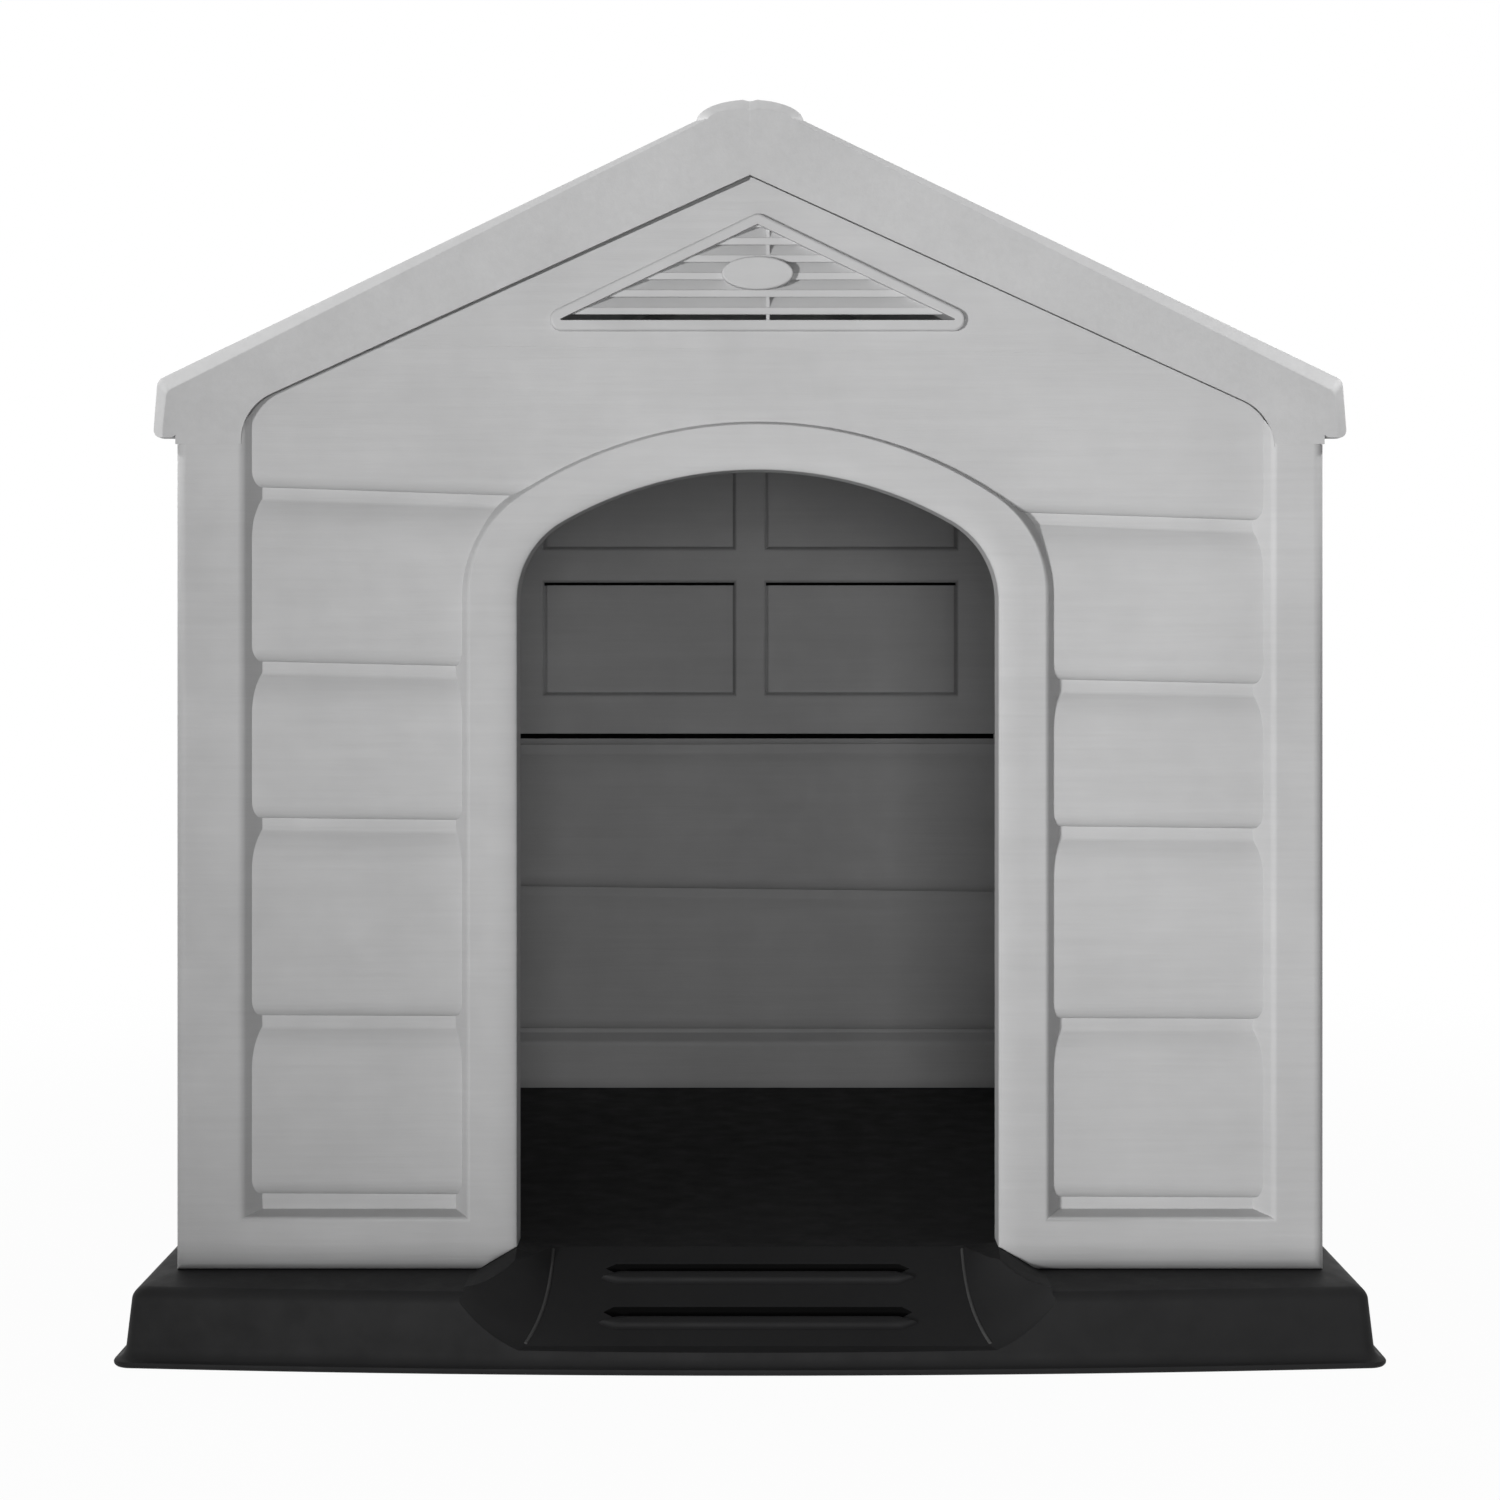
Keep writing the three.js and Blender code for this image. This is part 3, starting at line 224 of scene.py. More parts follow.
def extruded(name, levels, place, finish=None):
    """A filled circle laid out along the first outline and drawn through the others."""
    nothing_selected()
    count = len(levels[0][1])
    bpy.ops.mesh.primitive_circle_add(vertices=count, radius=1, fill_type="NGON", enter_editmode=True)
    obj = bpy.context.object
    obj.name = obj.data.name = name
    obj.location = (0, 0, 0)
    bm = bmesh.from_edit_mesh(obj.data)
    order = bm.verts.layers.int.new("order")
    for i, corner in enumerate(bm.verts):
        corner[order] = i
    for i, (at, outline) in enumerate(levels):
        if i:
            bpy.ops.mesh.extrude_region_move()
            bm = bmesh.from_edit_mesh(obj.data)
            order = bm.verts.layers.int["order"]
        for corner in bm.verts:
            if corner.select:
                corner.co = place(*outline[corner[order]], at)
        bmesh.update_edit_mesh(obj.data)
    bpy.ops.mesh.select_all(action="SELECT")
    bpy.ops.mesh.normals_make_consistent(inside=False)
    bpy.ops.object.mode_set(mode="OBJECT")
    obj.data.attributes.remove(obj.data.attributes["order"])
    if finish:
        obj.data.materials.append(finish)
    return obj


def prism(name, outline, start, end, place, finish=None):
    return extruded(name, [(start, outline), (end, outline)], place, finish)


def rectangle(column, row, grow=0):
    (left, right), (low, high) = column, row
    return [(left - grow, low - grow), (right + grow, low - grow),
            (right + grow, high + grow), (left - grow, high + grow)]


def block(name, low, high, finish=None):
    outline = rectangle((low[0], high[0]), (low[1], high[1]))
    return prism(name, outline, low[2], high[2], along_z, finish)


def joined(name, pieces):
    nothing_selected()
    for piece in pieces:
        piece.select_set(True)
    bpy.context.view_layer.objects.active = pieces[0]
    bpy.ops.object.join()
    pieces[0].name = pieces[0].data.name = name
    return pieces[0]


def boolean(piece, tool, operation):
    work_on(piece)
    modifier = piece.modifiers.new("boolean", "BOOLEAN")
    modifier.operation = operation
    modifier.solver = "EXACT"
    modifier.material_mode = "TRANSFER"
    modifier.object = tool
    bpy.ops.object.modifier_apply(modifier=modifier.name)
    bpy.data.objects.remove(tool)
    return piece


def cut(piece, tool):
    return boolean(piece, tool, "DIFFERENCE")


def added(piece, tool):
    return boolean(piece, tool, "UNION")


def common(piece, tool):
    return boolean(piece, tool, "INTERSECT")


def softened(piece, width, steps, chosen, sharpest=0.3):
    """Rounds the edges that chosen(middle) picks, where two faces meet at a marked angle."""
    work_on(piece)
    bpy.ops.object.mode_set(mode="EDIT")
    bpy.ops.mesh.select_mode(type="EDGE")
    bpy.ops.mesh.select_all(action="SELECT")
    bpy.ops.mesh.remove_doubles(threshold=0.00005)
    bpy.ops.mesh.dissolve_degenerate(threshold=0.00003)
    bpy.ops.mesh.select_all(action="DESELECT")
    bm = bmesh.from_edit_mesh(piece.data)
    for edge in bm.edges:
        middle = (edge.verts[0].co + edge.verts[1].co) / (2 * MM)
        if len(edge.link_faces) == 2 and edge.calc_face_angle(0) > sharpest and chosen(middle):
            edge.select = True
    bmesh.update_edit_mesh(piece.data)
    bpy.ops.mesh.bevel(offset=width * MM, segments=steps, profile=0.5, clamp_overlap=True)
    bpy.ops.mesh.select_mode(type="VERT")
    bpy.ops.object.mode_set(mode="OBJECT")
    return piece


def smoothed(piece, angle=32):
    """Merges doubles, drops slivers and shades round edges smooth and flat faces flat."""
    work_on(piece)
    bpy.ops.object.mode_set(mode="EDIT")
    bpy.ops.mesh.select_all(action="SELECT")
    bpy.ops.mesh.remove_doubles(threshold=0.00002)
    bpy.ops.mesh.dissolve_degenerate(threshold=0.00001)
    bpy.ops.mesh.normals_make_consistent(inside=False)
    bpy.ops.object.mode_set(mode="OBJECT")
    bpy.ops.object.shade_smooth_by_angle(angle=math.radians(angle))
    modifier = piece.modifiers.new("weighted", "WEIGHTED_NORMAL")
    modifier.keep_sharp = True
    modifier.weight = 60
    bpy.ops.object.modifier_apply(modifier=modifier.name)
    return piece


def stood(piece, rotation, x, y, z):
    """Turns a piece about its own origin, then sets it in its place."""
    work_on(piece)
    piece.rotation_mode = "XYZ"
    piece.rotation_euler = rotation
    piece.location = (x * MM, y * MM, z * MM)
    bpy.ops.object.transform_apply(location=True, rotation=True, scale=True)
    return piece


def moved(piece, turn, x, y):
    """Stands a panel, modelled in its own frame, in its place in the house."""
    return stood(piece, (0, 0, turn), x, y, 0)


def copied(piece, name):
    twin = piece.copy()
    twin.data = piece.data.copy()
    twin.name = twin.data.name = name
    bpy.context.scene.collection.objects.link(twin)
    return twin


# ---- Recesses and boards ----

def inward(u, v, w):
    """Measured from a panel's inner face."""
    return along_y(u, v, WALL_THICK - w)


def recess(outline, depth, place, mouth=MOUTH):
    """A drafted hollow with a rounded mouth; outline(depth, flare) is its edge."""
    levels = [(-PAST, outline(0, mouth))]
    levels += [(at, outline(at, back)) for at, back in round_steps(mouth, MOUTH_SINK, 6)]
    levels.append((depth, outline(depth, 0)))
    return extruded("recess", levels, place)


def board_section(low, high, groove, crest):
    """A board from its lower edge, a quarter round, to its upper edge, a long gentle curve."""
    height = groove - crest
    shares = [i / 12 for i in range(13)]
    lower = []
    for t in shares:
        turn = math.pi / 2 * t
        lower.append((groove - height * math.sin(turn), low + LOW_ROUND * (1 - math.cos(turn))))
    upper = [(groove - height * (1 - (1 - t) ** 2.4), high - HIGH_ROUND * t) for t in reversed(shares)]
    return [(groove + PAST, low)] + lower + upper + [(groove + PAST, high)]


def boards(joints, reach, groove, crest, place):
    """Lapped boards across a recess; each joint is given by its height at either end."""
    planks = []
    for (low_left, low_right), (high_left, high_right) in zip(joints, joints[1:]):
        levels = [(-reach, board_section(low_left, high_left - GROOVE, groove, crest)),
                  (reach, board_section(low_right, high_right - GROOVE, groove, crest))]
        planks.append(extruded("board", levels, place))
    return joined("boards", planks)


def from_outside(depth, height, across):
    return Vector((across, depth, height)) * MM


def from_inside(depth, height, across):
    return from_outside(WALL_THICK - depth, height, across)


# ---- Gable walls ----

TIGHT_GAP, LOOSE_GAP = 0.05, 0.1  # under the right and the left bargeboard
APEX_GAP, FOOT_GAP = 2.8, 0.03
TOP_CREASE, TOP_CREASE_HALF, TOP_CREASE_WIDTH = (781, 772), 380, 2.5
DOOR_ROUND, DOOR_SINK = 20, 4  # the doorway's wide soft edge
DOOR_INNER_ROUND = 5
VENT_SEAT = VENT_RIM + 2
VENT_HOLE = 1.8


def gable_outline(back):
    half, foot = WALL_HALF - back, WALL_FOOT + back
    top, apex = underside(WALL_HALF) - FIT, underside(0) - FIT
    return [(-half, foot), (half, foot), (half, top), (0, apex), (-half, top)]


def half_fascia_edge(post, gap=0, apex_gap=0):
    """The bargeboard's lower edge, from its foot on the post to the middle."""
    post -= gap
    corner = (post, fascia_line(post) - gap)
    turn = rounded((post, FASCIA_FOOT), corner, (0, FASCIA_TOP - gap), FASCIA_ROUND - gap, 14)
    return turn + [(0, FASCIA_TOP - apex_gap)]


def rebate(offset):
    """What the bargeboards fill in front of a gable wall, a little larger all round.

    Seen from the wall's own front, the gap on the left opens towards the apex.
    """
    def half(post, gap, apex_gap):
        side = WALL_HALF + PAST
        outline = [(0, RIDGE + PAST), (side, RIDGE + PAST), (side, FASCIA_FOOT - FOOT_GAP)]
        outline.append((post - gap, FASCIA_FOOT - FOOT_GAP))
        return outline + half_fascia_edge(post, gap, apex_gap)

    right = half(POST + offset, TIGHT_GAP, TIGHT_GAP)
    left = half(POST - offset, LOOSE_GAP, APEX_GAP)
    left[-1] = (0.5, left[-1][1])
    return prism("rebate", right + mirrored(left[1:]), -PAST, FASCIA_DEPTH + 0.5, along_y)


def trim_outline(grow):
    return half_arch(TRIM_HALF + grow, TRIM_CROWN + 0.4 * grow,
                     TRIM_CROWN_RADIUS + grow, TRIM_SHOULDER_RADIUS + grow)


def between_posts(depth, flare):
    side = POST - 1 - POST_DRAFT * depth + flare
    return [(side, RECESS_FOOT + FOOT_DRAFT * depth - flare), (side, RIDGE)]


def front_region(depth, flare):
    trim = trim_outline(TRIM_DRAFT * depth - flare * 0.6)[::-1]
    posts = between_posts(depth, flare)
    half = trim + [(trim[-1][0], posts[0][1])] + posts
    return shifted(half + mirrored(half[1:]), RELIEF)


def back_region(depth, flare):
    half = between_posts(depth, flare)
    return half + mirrored(half)


def inner_region(door):
    def outline(depth, flare):
        grow = flare - POST_DRAFT * depth
        side, foot = WALL_HALF - INNER_POST + grow, INNER_FOOT - grow
        top = [(x, underside(x) - (INNER_TOP - grow) * STRETCH) for x in (side, 0)]
        right = [(side, foot)] + top
        if not door:
            return right + mirrored(right[:-1])
        trim = trim_outline(-grow)[::-1]
        half = trim + [(trim[-1][0], foot)] + right
        return shifted(half + mirrored(half[1:-1]), RELIEF)
    return outline


def foot_curve():
    """The wall's foot curves up beside the doorway and runs on straight to the jamb."""
    centre = (FOOT_START, WALL_FOOT - FIT + FOOT_RADIUS)
    curve = arc(centre, (FOOT_RADIUS, FOOT_RADIUS), 270, 270 - FOOT_ANGLE, 8)
    across, low = curve[-1]
    rise = math.tan(math.radians(FOOT_ANGLE))
    return curve + [(u, low + (across - u) * rise) for u in (across * 0.5 + DOOR_HALF * 0.5, DOOR_HALF)]


def door_outline(grow):
    arch = half_arch(DOOR_HALF + grow, DOOR_CROWN + grow,
                     DOOR_CROWN_RADIUS + grow, DOOR_SHOULDER_RADIUS + grow, 18)
    rise = foot_curve()[-1][1] - WALL_FOOT
    foot = [(u + grow * (v - WALL_FOOT) / rise, v) for u, v in foot_curve()]
    half = [(FOOT_START, WALL_FOOT - PAST)] + foot + arch
    return shifted(half + mirrored(half)[1:], RELIEF)


def doorway():
    levels = [(-PAST, door_outline(DOOR_ROUND))]
    levels += [(at, door_outline(back)) for at, back in round_steps(DOOR_ROUND, DOOR_SINK, 10)]
    inner_edge = round_steps(DOOR_INNER_ROUND, DOOR_INNER_ROUND, 5)
    levels += [(WALL_THICK - at, door_outline(back)) for at, back in inner_edge[::-1]]
    levels.append((WALL_THICK + PAST, door_outline(DOOR_INNER_ROUND)))
    return extruded("doorway", levels, along_y)


def vent_outline(grow, steps=10):
    """The vent's triangle, grown from the one through the centres of its round corners."""
    foot = VENT_FOOT - grow
    apex = VENT_FOOT + VENT_HALF * PITCH + grow * STRETCH
    half = (apex - foot) / PITCH
    corners = [(-half, foot), (half, foot), (0, apex)]
    return [point for i, corner in enumerate(corners)
            for point in rounded(corners[i - 1], corner, corners[(i + 1) % 3], grow, steps)]


def top_crease():
    """The top joint between the boards, which is only a shallow line."""
    (left, right), half, width = TOP_CREASE, TOP_CREASE_HALF, TOP_CREASE_WIDTH
    outline = [(-half, left), (half, right), (half, right + width), (-half, left + width)]
    return prism("crease", outline, 2, CREST + 0.7, along_y)


def gable_wall(name, door, finish):
    offset = RELIEF if door else 0
    levels = [(at, gable_outline(back)) for at, back in round_steps(EDGE, EDGE)]
    wall = extruded(name, levels + [(WALL_THICK, gable_outline(0))], along_y, finish)
    cut(wall, rebate(offset))
    hollow = recess(front_region if door else back_region, RECESS, along_y)
    cut(hollow, boards(GABLE_JOINTS, BOARD_REACH, RECESS, CREST, from_outside))
    cut(hollow, prism("seat", shifted(vent_outline(VENT_SEAT), offset), CREST, 30, along_y))
    cut(wall, hollow)
    cut(wall, top_crease())
    hollow = recess(inner_region(door), INNER_RECESS, inward, INNER_MOUTH)
    joints = GABLE_JOINTS if door else BACK_INNER_JOINTS
    planks = boards(joints, BOARD_REACH, INNER_RECESS, INNER_CREST, from_inside)
    if door:
        cut(hollow, planks)
        cut(wall, hollow)
        cut(wall, doorway())
    else:
        cut(planks, window_space())
        cut(hollow, planks)
        cut(hollow, window_block())
        cut(wall, hollow)
        cut(wall, window_groove())
        for pane in window_panes():
            cut(wall, pane)
    hole = shifted(vent_outline(VENT_HOLE), offset)
    cut(wall, prism("hole", hole, -PAST, WALL_THICK + PAST, along_y))
    return wall


# ---- The window moulding inside the back wall ----

WINDOW_COLUMN, WINDOW_ROW = (-261.5, 261.5), (451, 780)
WINDOW_DEPTH = 20
WINDOW_ROUND = 2.5
GROOVE_COLUMN, GROOVE_ROW, GROOVE_DEPTH = (-261, 261), (446.5, 452), 24
PANE_ROWS = [(493, 615), (649, 742)]
PANE_COLUMNS = [(-221.5, -15.5), (15.5, 221.5)]
PANE_DEPTH, PANE_DRAFT = 8, 0.375
SHADE_START, SHADE_END = 4, 20
SHADE_HEIGHT, SHADE_WIDTH = 4.5, 4


def window_space():
    """What the boards leave free for the moulding."""
    return prism("space", rectangle(WINDOW_COLUMN, WINDOW_ROW, 4), -PAST, WINDOW_DEPTH, inward)


def window_block():
    levels = [(at, rectangle(WINDOW_COLUMN, WINDOW_ROW, -back))
              for at, back in round_steps(WINDOW_ROUND, WINDOW_ROUND, 4)]
    levels.append((WINDOW_DEPTH, rectangle(WINDOW_COLUMN, WINDOW_ROW)))
    return extruded("window", levels, inward)


def window_groove():
    """The slot under the moulding, its faces painted near-black as shade."""
    outline = rectangle(GROOVE_COLUMN, GROOVE_ROW)
    return prism("groove", outline, -PAST, GROOVE_DEPTH, inward, painted_shade_plastic)


def window_panes():
    """Each pane's shallow hollow, with a slot along its top whose faces are painted near-black as shade, and
    a plain one down one side.
    """
    for row in PANE_ROWS:
        for column in PANE_COLUMNS:
            levels = [(-PAST, rectangle(column, row, WINDOW_ROUND))]
            levels += [(at, rectangle(column, row, back - PANE_DRAFT * at))
                       for at, back in round_steps(WINDOW_ROUND, WINDOW_ROUND, 4)]
            levels.append((PANE_DEPTH, rectangle(column, row, -PANE_DRAFT * PANE_DEPTH)))
            yield extruded("pane", levels, inward)
            (left, right), (low, high) = column, row
            top = rectangle((left - 1, right + 1), (high - SHADE_HEIGHT, high + 1))
            yield prism("shade", top, SHADE_START, SHADE_END, inward, painted_shade_plastic)
            side = rectangle((right - SHADE_WIDTH, right + 1), (low, high))
            yield prism("shade", side, SHADE_START, SHADE_END, inward)


# ---- Side walls ----

SIDE_POST, SIDE_TOP = 30, 62
SIDE_INNER_POST = 46


def side_region(frame_width, low, high):
    def outline(depth, flare):
        grow = flare - POST_DRAFT * depth
        half = SIDE_LENGTH / 2 - frame_width
        return rectangle((-half, half), (low, high), grow)
    return outline


def side_wall(name, finish):
    section = arc((EDGE, WALL_FOOT + EDGE), (EDGE, EDGE), 180, 270, 8)
    section += [(WALL_THICK, WALL_FOOT), (WALL_THICK, underside(WALL_HALF - WALL_THICK) - FIT)]
    section.append((0, underside(WALL_HALF) - FIT))
    half = SIDE_LENGTH / 2
    wall = prism(name, section, -half, half, along_x, finish)
    top = underside(WALL_HALF)
    hollow = recess(side_region(SIDE_POST, RECESS_FOOT, top - SIDE_TOP), RECESS, along_y)
    cut(hollow, boards(SIDE_JOINTS, half - 15, RECESS, CREST, from_outside))
    cut(wall, hollow)
    inner = side_region(SIDE_INNER_POST, INNER_FOOT, top - INNER_TOP)
    hollow = recess(inner, INNER_RECESS, inward, INNER_MOUTH)
    cut(hollow, boards(SIDE_JOINTS, half - 15, INNER_RECESS, INNER_CREST, from_inside))
    return cut(wall, hollow)


# ---- Vents ----

VENT_FACE = CREST - 5
VENT_SKIRT, VENT_SKIRT_DEPTH = 1.5, 30
VENT_MOUTH = 0.6
SLATS, SLAT_START, SLAT_RISE = 6, 4.2, 13.6
SLAT_REACH = 158
BOSS_HEIGHT, BOSS_HALF, BOSS_TALL = 36, 28, 13


def vent_slats(finish):
    """Louvres with round noses, which lean up towards the inside, and the rib that crosses them."""
    slats = []
    near, far = VENT_FACE + 5, VENT_FACE + 12
    for i in range(SLATS):
        low = VENT_FOOT + SLAT_START + SLAT_RISE * i
        nose = arc((near + 1, low + 5), (1, 1), 90, 180, 4)
        nose += arc((near + 1, low + 1), (1, 1), 180, 270, 4)
        section = nose + [(far, low + 10.5), (far, low + 16.5)]
        slats.append(prism("slat", section, -SLAT_REACH, SLAT_REACH, along_x, finish))
    bars = joined("slats", slats)
    rib = block("rib", (6.7, VENT_FACE + 5.6, VENT_FOOT - 3), (9.3, VENT_FACE + 20, RIDGE), finish)
    return added(bars, rib)


def vent_boss(finish):
    """A plain oval in front of the slats."""
    def oval(back):
        return arc((0, VENT_FOOT + BOSS_HEIGHT), (BOSS_HALF - back, BOSS_TALL - back), 0, 360, 64)[:-1]

    levels = [(VENT_FACE - 1.5 + at, oval(back)) for at, back in round_steps(1.8, 1.5, 5)]
    return extruded("boss", levels + [(VENT_FACE + 10, oval(0))], along_y, finish)


def vent(name, finish):
    """A triangular frame with slats, a rib and an oval boss, in the frame of its wall."""
    depth = CREST + VENT_SKIRT_DEPTH
    rim = [(VENT_FACE + at, vent_outline(VENT_RIM - back)) for at, back in round_steps(2.5, 2.5, 5)]
    ring = extruded(name, rim + [(CREST - FIT, vent_outline(VENT_RIM))], along_y, finish)
    added(ring, prism("skirt", vent_outline(VENT_SKIRT), CREST - 2, depth, along_y, finish))
    mouth = [(VENT_FACE - PAST, vent_outline(1.4))]
    mouth += [(VENT_FACE + at, vent_outline(max(back - 0.5, VENT_MOUTH)))
              for at, back in round_steps(2, 2, 4)]
    cut(ring, extruded("mouth", mouth + [(depth + PAST, vent_outline(VENT_MOUTH))], along_y))
    filler = prism("filler", vent_outline(1, 2), VENT_FACE, depth, along_y, finish)
    added(ring, common(vent_slats(finish), filler))
    return added(ring, vent_boss(finish))


# ---- Base ----

RIM_HALF, RIM_FRONT, RIM_BACK = 485, -455, 475
RIM_BOW, RIM_CORNER = 21, 15
RIM_EDGE = [(0, 1.5), (1, 0.6), (2, 0.1), (3.4, 0), (4.4, 0.5)]  # (height, inset)
FLARE_TOP, FLARE_HEIGHT, FLARE_INSET, FLARE_DEPTH = 16.5, 11.7, 8.6, 7.6
SHOULDER_HEIGHT, SHOULDER_INSET = 10.5, 11
SILL_HALF = 190.7
FLOOR_EDGE = [(0, 0), (0.8, 0.2), (1.3, 0.7), (1.5, 1.5)]  # (height, inset)
CHEEK_RUN = 54
RAMP_HALF, RAMP_SPREAD = 160.5, 16
BEAD_RADIUS = 1.3
GRIP_REACH, GRIP_HALF, GRIP_RISE = 122, 5.8, 4.5
GRIPS = [(0.332, 0.232, 5), (0.782, 0.67, 5.6)]  # a bar's place, its groove's place and half width


def bowed(half, front, back, bow, radius):
    """A rectangle with round corners and a bowed front edge."""
    reach = half - radius
    edge = []
    for i in range(1, 24):
        x = -reach + 2 * reach * i / 24
        edge.append((x, front - bow * (1 - (x / reach) ** 2)))
    points = arc((-reach, front + radius), (radius, radius), 180, 270, 9) + edge
    points += arc((reach, front + radius), (radius, radius), 270, 360, 9)
    points += arc((reach, back - radius), (radius, radius), 0, 90, 9)
    return points + arc((-reach, back - radius), (radius, radius), 90, 180, 9)


def base_outline(inset):
    radius = max(RIM_CORNER - inset * 0.4, 4)
    return bowed(RIM_HALF - inset, RIM_FRONT + inset, RIM_BACK - inset, RIM_BOW, radius)


def plateau_outline(inset):
    """The raised floor inside the walls, with its tongue through the doorway."""
    half, front = WALL_HALF - WALL_THICK - FIT - inset, FRONT + WALL_THICK + FIT + inset
    back = BACK - WALL_THICK - FIT - inset
    step, sill = SILL_HALF - inset, FRONT + inset
    return [(RELIEF + step, sill), (RELIEF + step, front), (half, front), (half, back),
            (-half, back), (-half, front), (RELIEF - step, front), (RELIEF - step, sill)]


def base_body(finish):
    """The tray: a rim round a shallow hollow, a flare, a skirt, a round shoulder and a floor."""
    levels = [(4, base_outline(13.5)), (0, base_outline(12))]
    levels += [(height, base_outline(inset)) for height, inset in RIM_EDGE]
    for turn in (0.12, 0.3, 0.5, 0.75, 1.0, 1.25, 1.45):
        inset = FLARE_INSET - FLARE_DEPTH * (1 - math.sin(turn))
        levels.append((FLARE_TOP - FLARE_HEIGHT * math.cos(turn), base_outline(inset)))
    levels.append((SKIRT_TOP, base_outline(SKIRT_INSET)))
    for turn in (0.2, 0.4, 0.6, 0.8, 1, 1.2, 1.4):
        inset = SKIRT_INSET + SHOULDER_INSET * (1 - math.cos(turn))
        levels.append((SKIRT_TOP + SHOULDER_HEIGHT * math.sin(turn), base_outline(inset)))
    levels.append((WALL_FOOT - FIT, bowed(WALL_HALF + FIT, FRONT - FIT, BACK + FIT, 0, 4)))
    body = extruded("base", levels, along_z, finish)
    plateau = [(50, plateau_outline(0))]
    plateau += [(FLOOR - 1.5 + height, plateau_outline(inset)) for height, inset in FLOOR_EDGE]
    return added(body, extruded("plateau", plateau, along_z, finish))


def cheek(side, finish):
    """The base swells up under the wall's curved foot and falls away towards the front."""
    foot, inner, free = WALL_FOOT - FIT, 150, 90

    def section(rise, most):
        curve = [(u, foot + (v - foot - 0.4) * rise) for u, v in foot_curve()]
        curve += [(182, foot + 16 * rise), (177, foot + 14.2 * rise), (inner, foot + 12.9 * rise)]
        outline = [(inner, 50), (FOOT_START + 0.5, 50)] + [(u, min(v, most)) for u, v in curve]
        return shifted(sided(outline, side), RELIEF)

    levels = [(FRONT + at, section(1, most)) for at, most in (
        (39.5, FLOOR - 0.1), (34, FLOOR + 1.5), (26, FLOOR + 4.5), (18, free), (0, free))]
    levels += [(FRONT - CHEEK_RUN * t, section((1 - t) ** 1.15, free))
               for t in (0.15, 0.3, 0.45, 0.6, 0.75, 0.9, 1)]
    return extruded("cheek", levels, along_y, finish)


def ramp_half(t):
    """Half the ramp's width, from the sill at 0 down to its foot at 1."""
    return RAMP_HALF + RAMP_SPREAD * t ** 3


def crease_bead(side, finish):
    """The thin line in the crease between the ramp and its flank, a bead coloured lighter as a painted
    highlight.
    """
    levels = []
    for i in range(15):
        t = 0.04 + 0.94 * i / 14
        across = RELIEF + side * (ramp_half(t) + 0.4)
        edge = [(across + u, FLOOR + 0.4 - RAMP_FALL * t + v) for u, v in circle(BEAD_RADIUS, 12)]
        levels.append((RAMP_START - RAMP_RUN * t, edge))
    return extruded("bead", levels, along_y, finish)


def ramp_section(half, low, flare, top):
    """Flat from side to side at the height low, with a hollow flank up to the height top."""
    start, end = (half, low), (half + flare, top)
    control = (half + flare * 0.58, low + (top - low) * 0.3)
    flank = []
    for i in range(11):
        t = i / 10
        flank.append(tuple((1 - t) ** 2 * a + 2 * t * (1 - t) * b + t * t * c
                           for a, b, c in zip(start, control, end)))
    lean = (end[0] - control[0]) / (end[1] - control[1])
    clear = 95
    half_line = flank + [(end[0] + lean * (clear - top), clear)]
    return shifted(half_line + mirrored(half_line), RELIEF)


def ramp_space():
    """What is cut away over the ramp: flat along its foot, with flared, hollow flanks."""
    levels = []
    for i in range(17):
        t = i / 16
        fall = min(max((t - 0.2) / 0.7, 0), 1)
        top = FLOOR + 1 - 17 * fall * fall * (3 - 2 * fall)
        flare = 3 + 30 * math.sin(t * math.pi / 2) ** 2 + 26 * (1 - math.sqrt(1 - (t * 0.985) ** 2))
        section = ramp_section(ramp_half(t), FLOOR - RAMP_FALL * t, flare, top)
        levels.append((RAMP_START - RAMP_RUN * t, section))
    levels.append((RIM_FRONT - 16, ramp_section(185, 14.5, 57, 57)))
    levels.append((RIM_FRONT - 31, ramp_section(194, 13.5, 60, 57)))
    return extruded("ramp", levels, along_y)


def beside_ramp(at):
    """Whether a place is among the edges in front of the doorway, above the rim."""
    return abs(at.x - RELIEF) < 250 and at.y < RAMP_START + 2 and at.z > 12


def on_ramp(place):
    """Across, up along and proud of the ramp's slope, from a place on its way down."""
    tilt = math.atan(RAMP_FALL / RAMP_RUN)

    def where(u, v, w):
        return Vector((
            u + RELIEF,
            RAMP_START - RAMP_RUN * place + v * math.cos(tilt) - w * math.sin(tilt),
            FLOOR - RAMP_FALL * place + v * math.sin(tilt) + w * math.cos(tilt))) * MM
    return where


def pointed(across, reach, point=12):
    """A bar's outline, with a point at either end."""
    half = [(reach - point, -across), (reach, 0), (reach - point, across)]
    return half + [(-u, -v) for u, v in half]


def grip_bar(place, finish):
    levels = [(at, pointed(GRIP_HALF, GRIP_REACH)) for at in (-6, 0)]
    for turn in (0.4, 0.8, 1.2, math.pi / 2):
        back = 1 - math.cos(turn)
        outline = pointed(GRIP_HALF - 3.6 * back, GRIP_REACH - 9 * back)
        levels.append((GRIP_RISE * math.sin(turn), outline))
    return extruded("grip_bar", levels, on_ramp(place), finish)


def grip_groove(place, width):
    levels = [(height, pointed(width - inset, reach, 8))
              for height, inset, reach in ((5, 0, 119), (-1, 0.2, 118.5), (-9, 1.5, 116))]
    # The groove's faces are painted near-black as the shade behind the bar.
    return extruded("groove", levels, on_ramp(place), painted_shade_plastic)


def base(finish):
    body = base_body(finish)
    for side in (-1, 1):
        added(body, cheek(side, finish))
    cut(body, ramp_space())
    softened(body, 4, 4, beside_ramp)
    for side in (-1, 1):
        added(body, crease_bead(side, painted_highlight_plastic))
    for bar_place, groove_place, groove_half in GRIPS:
        cut(body, grip_groove(groove_place, groove_half))
        added(body, grip_bar(bar_place, finish))
    return body


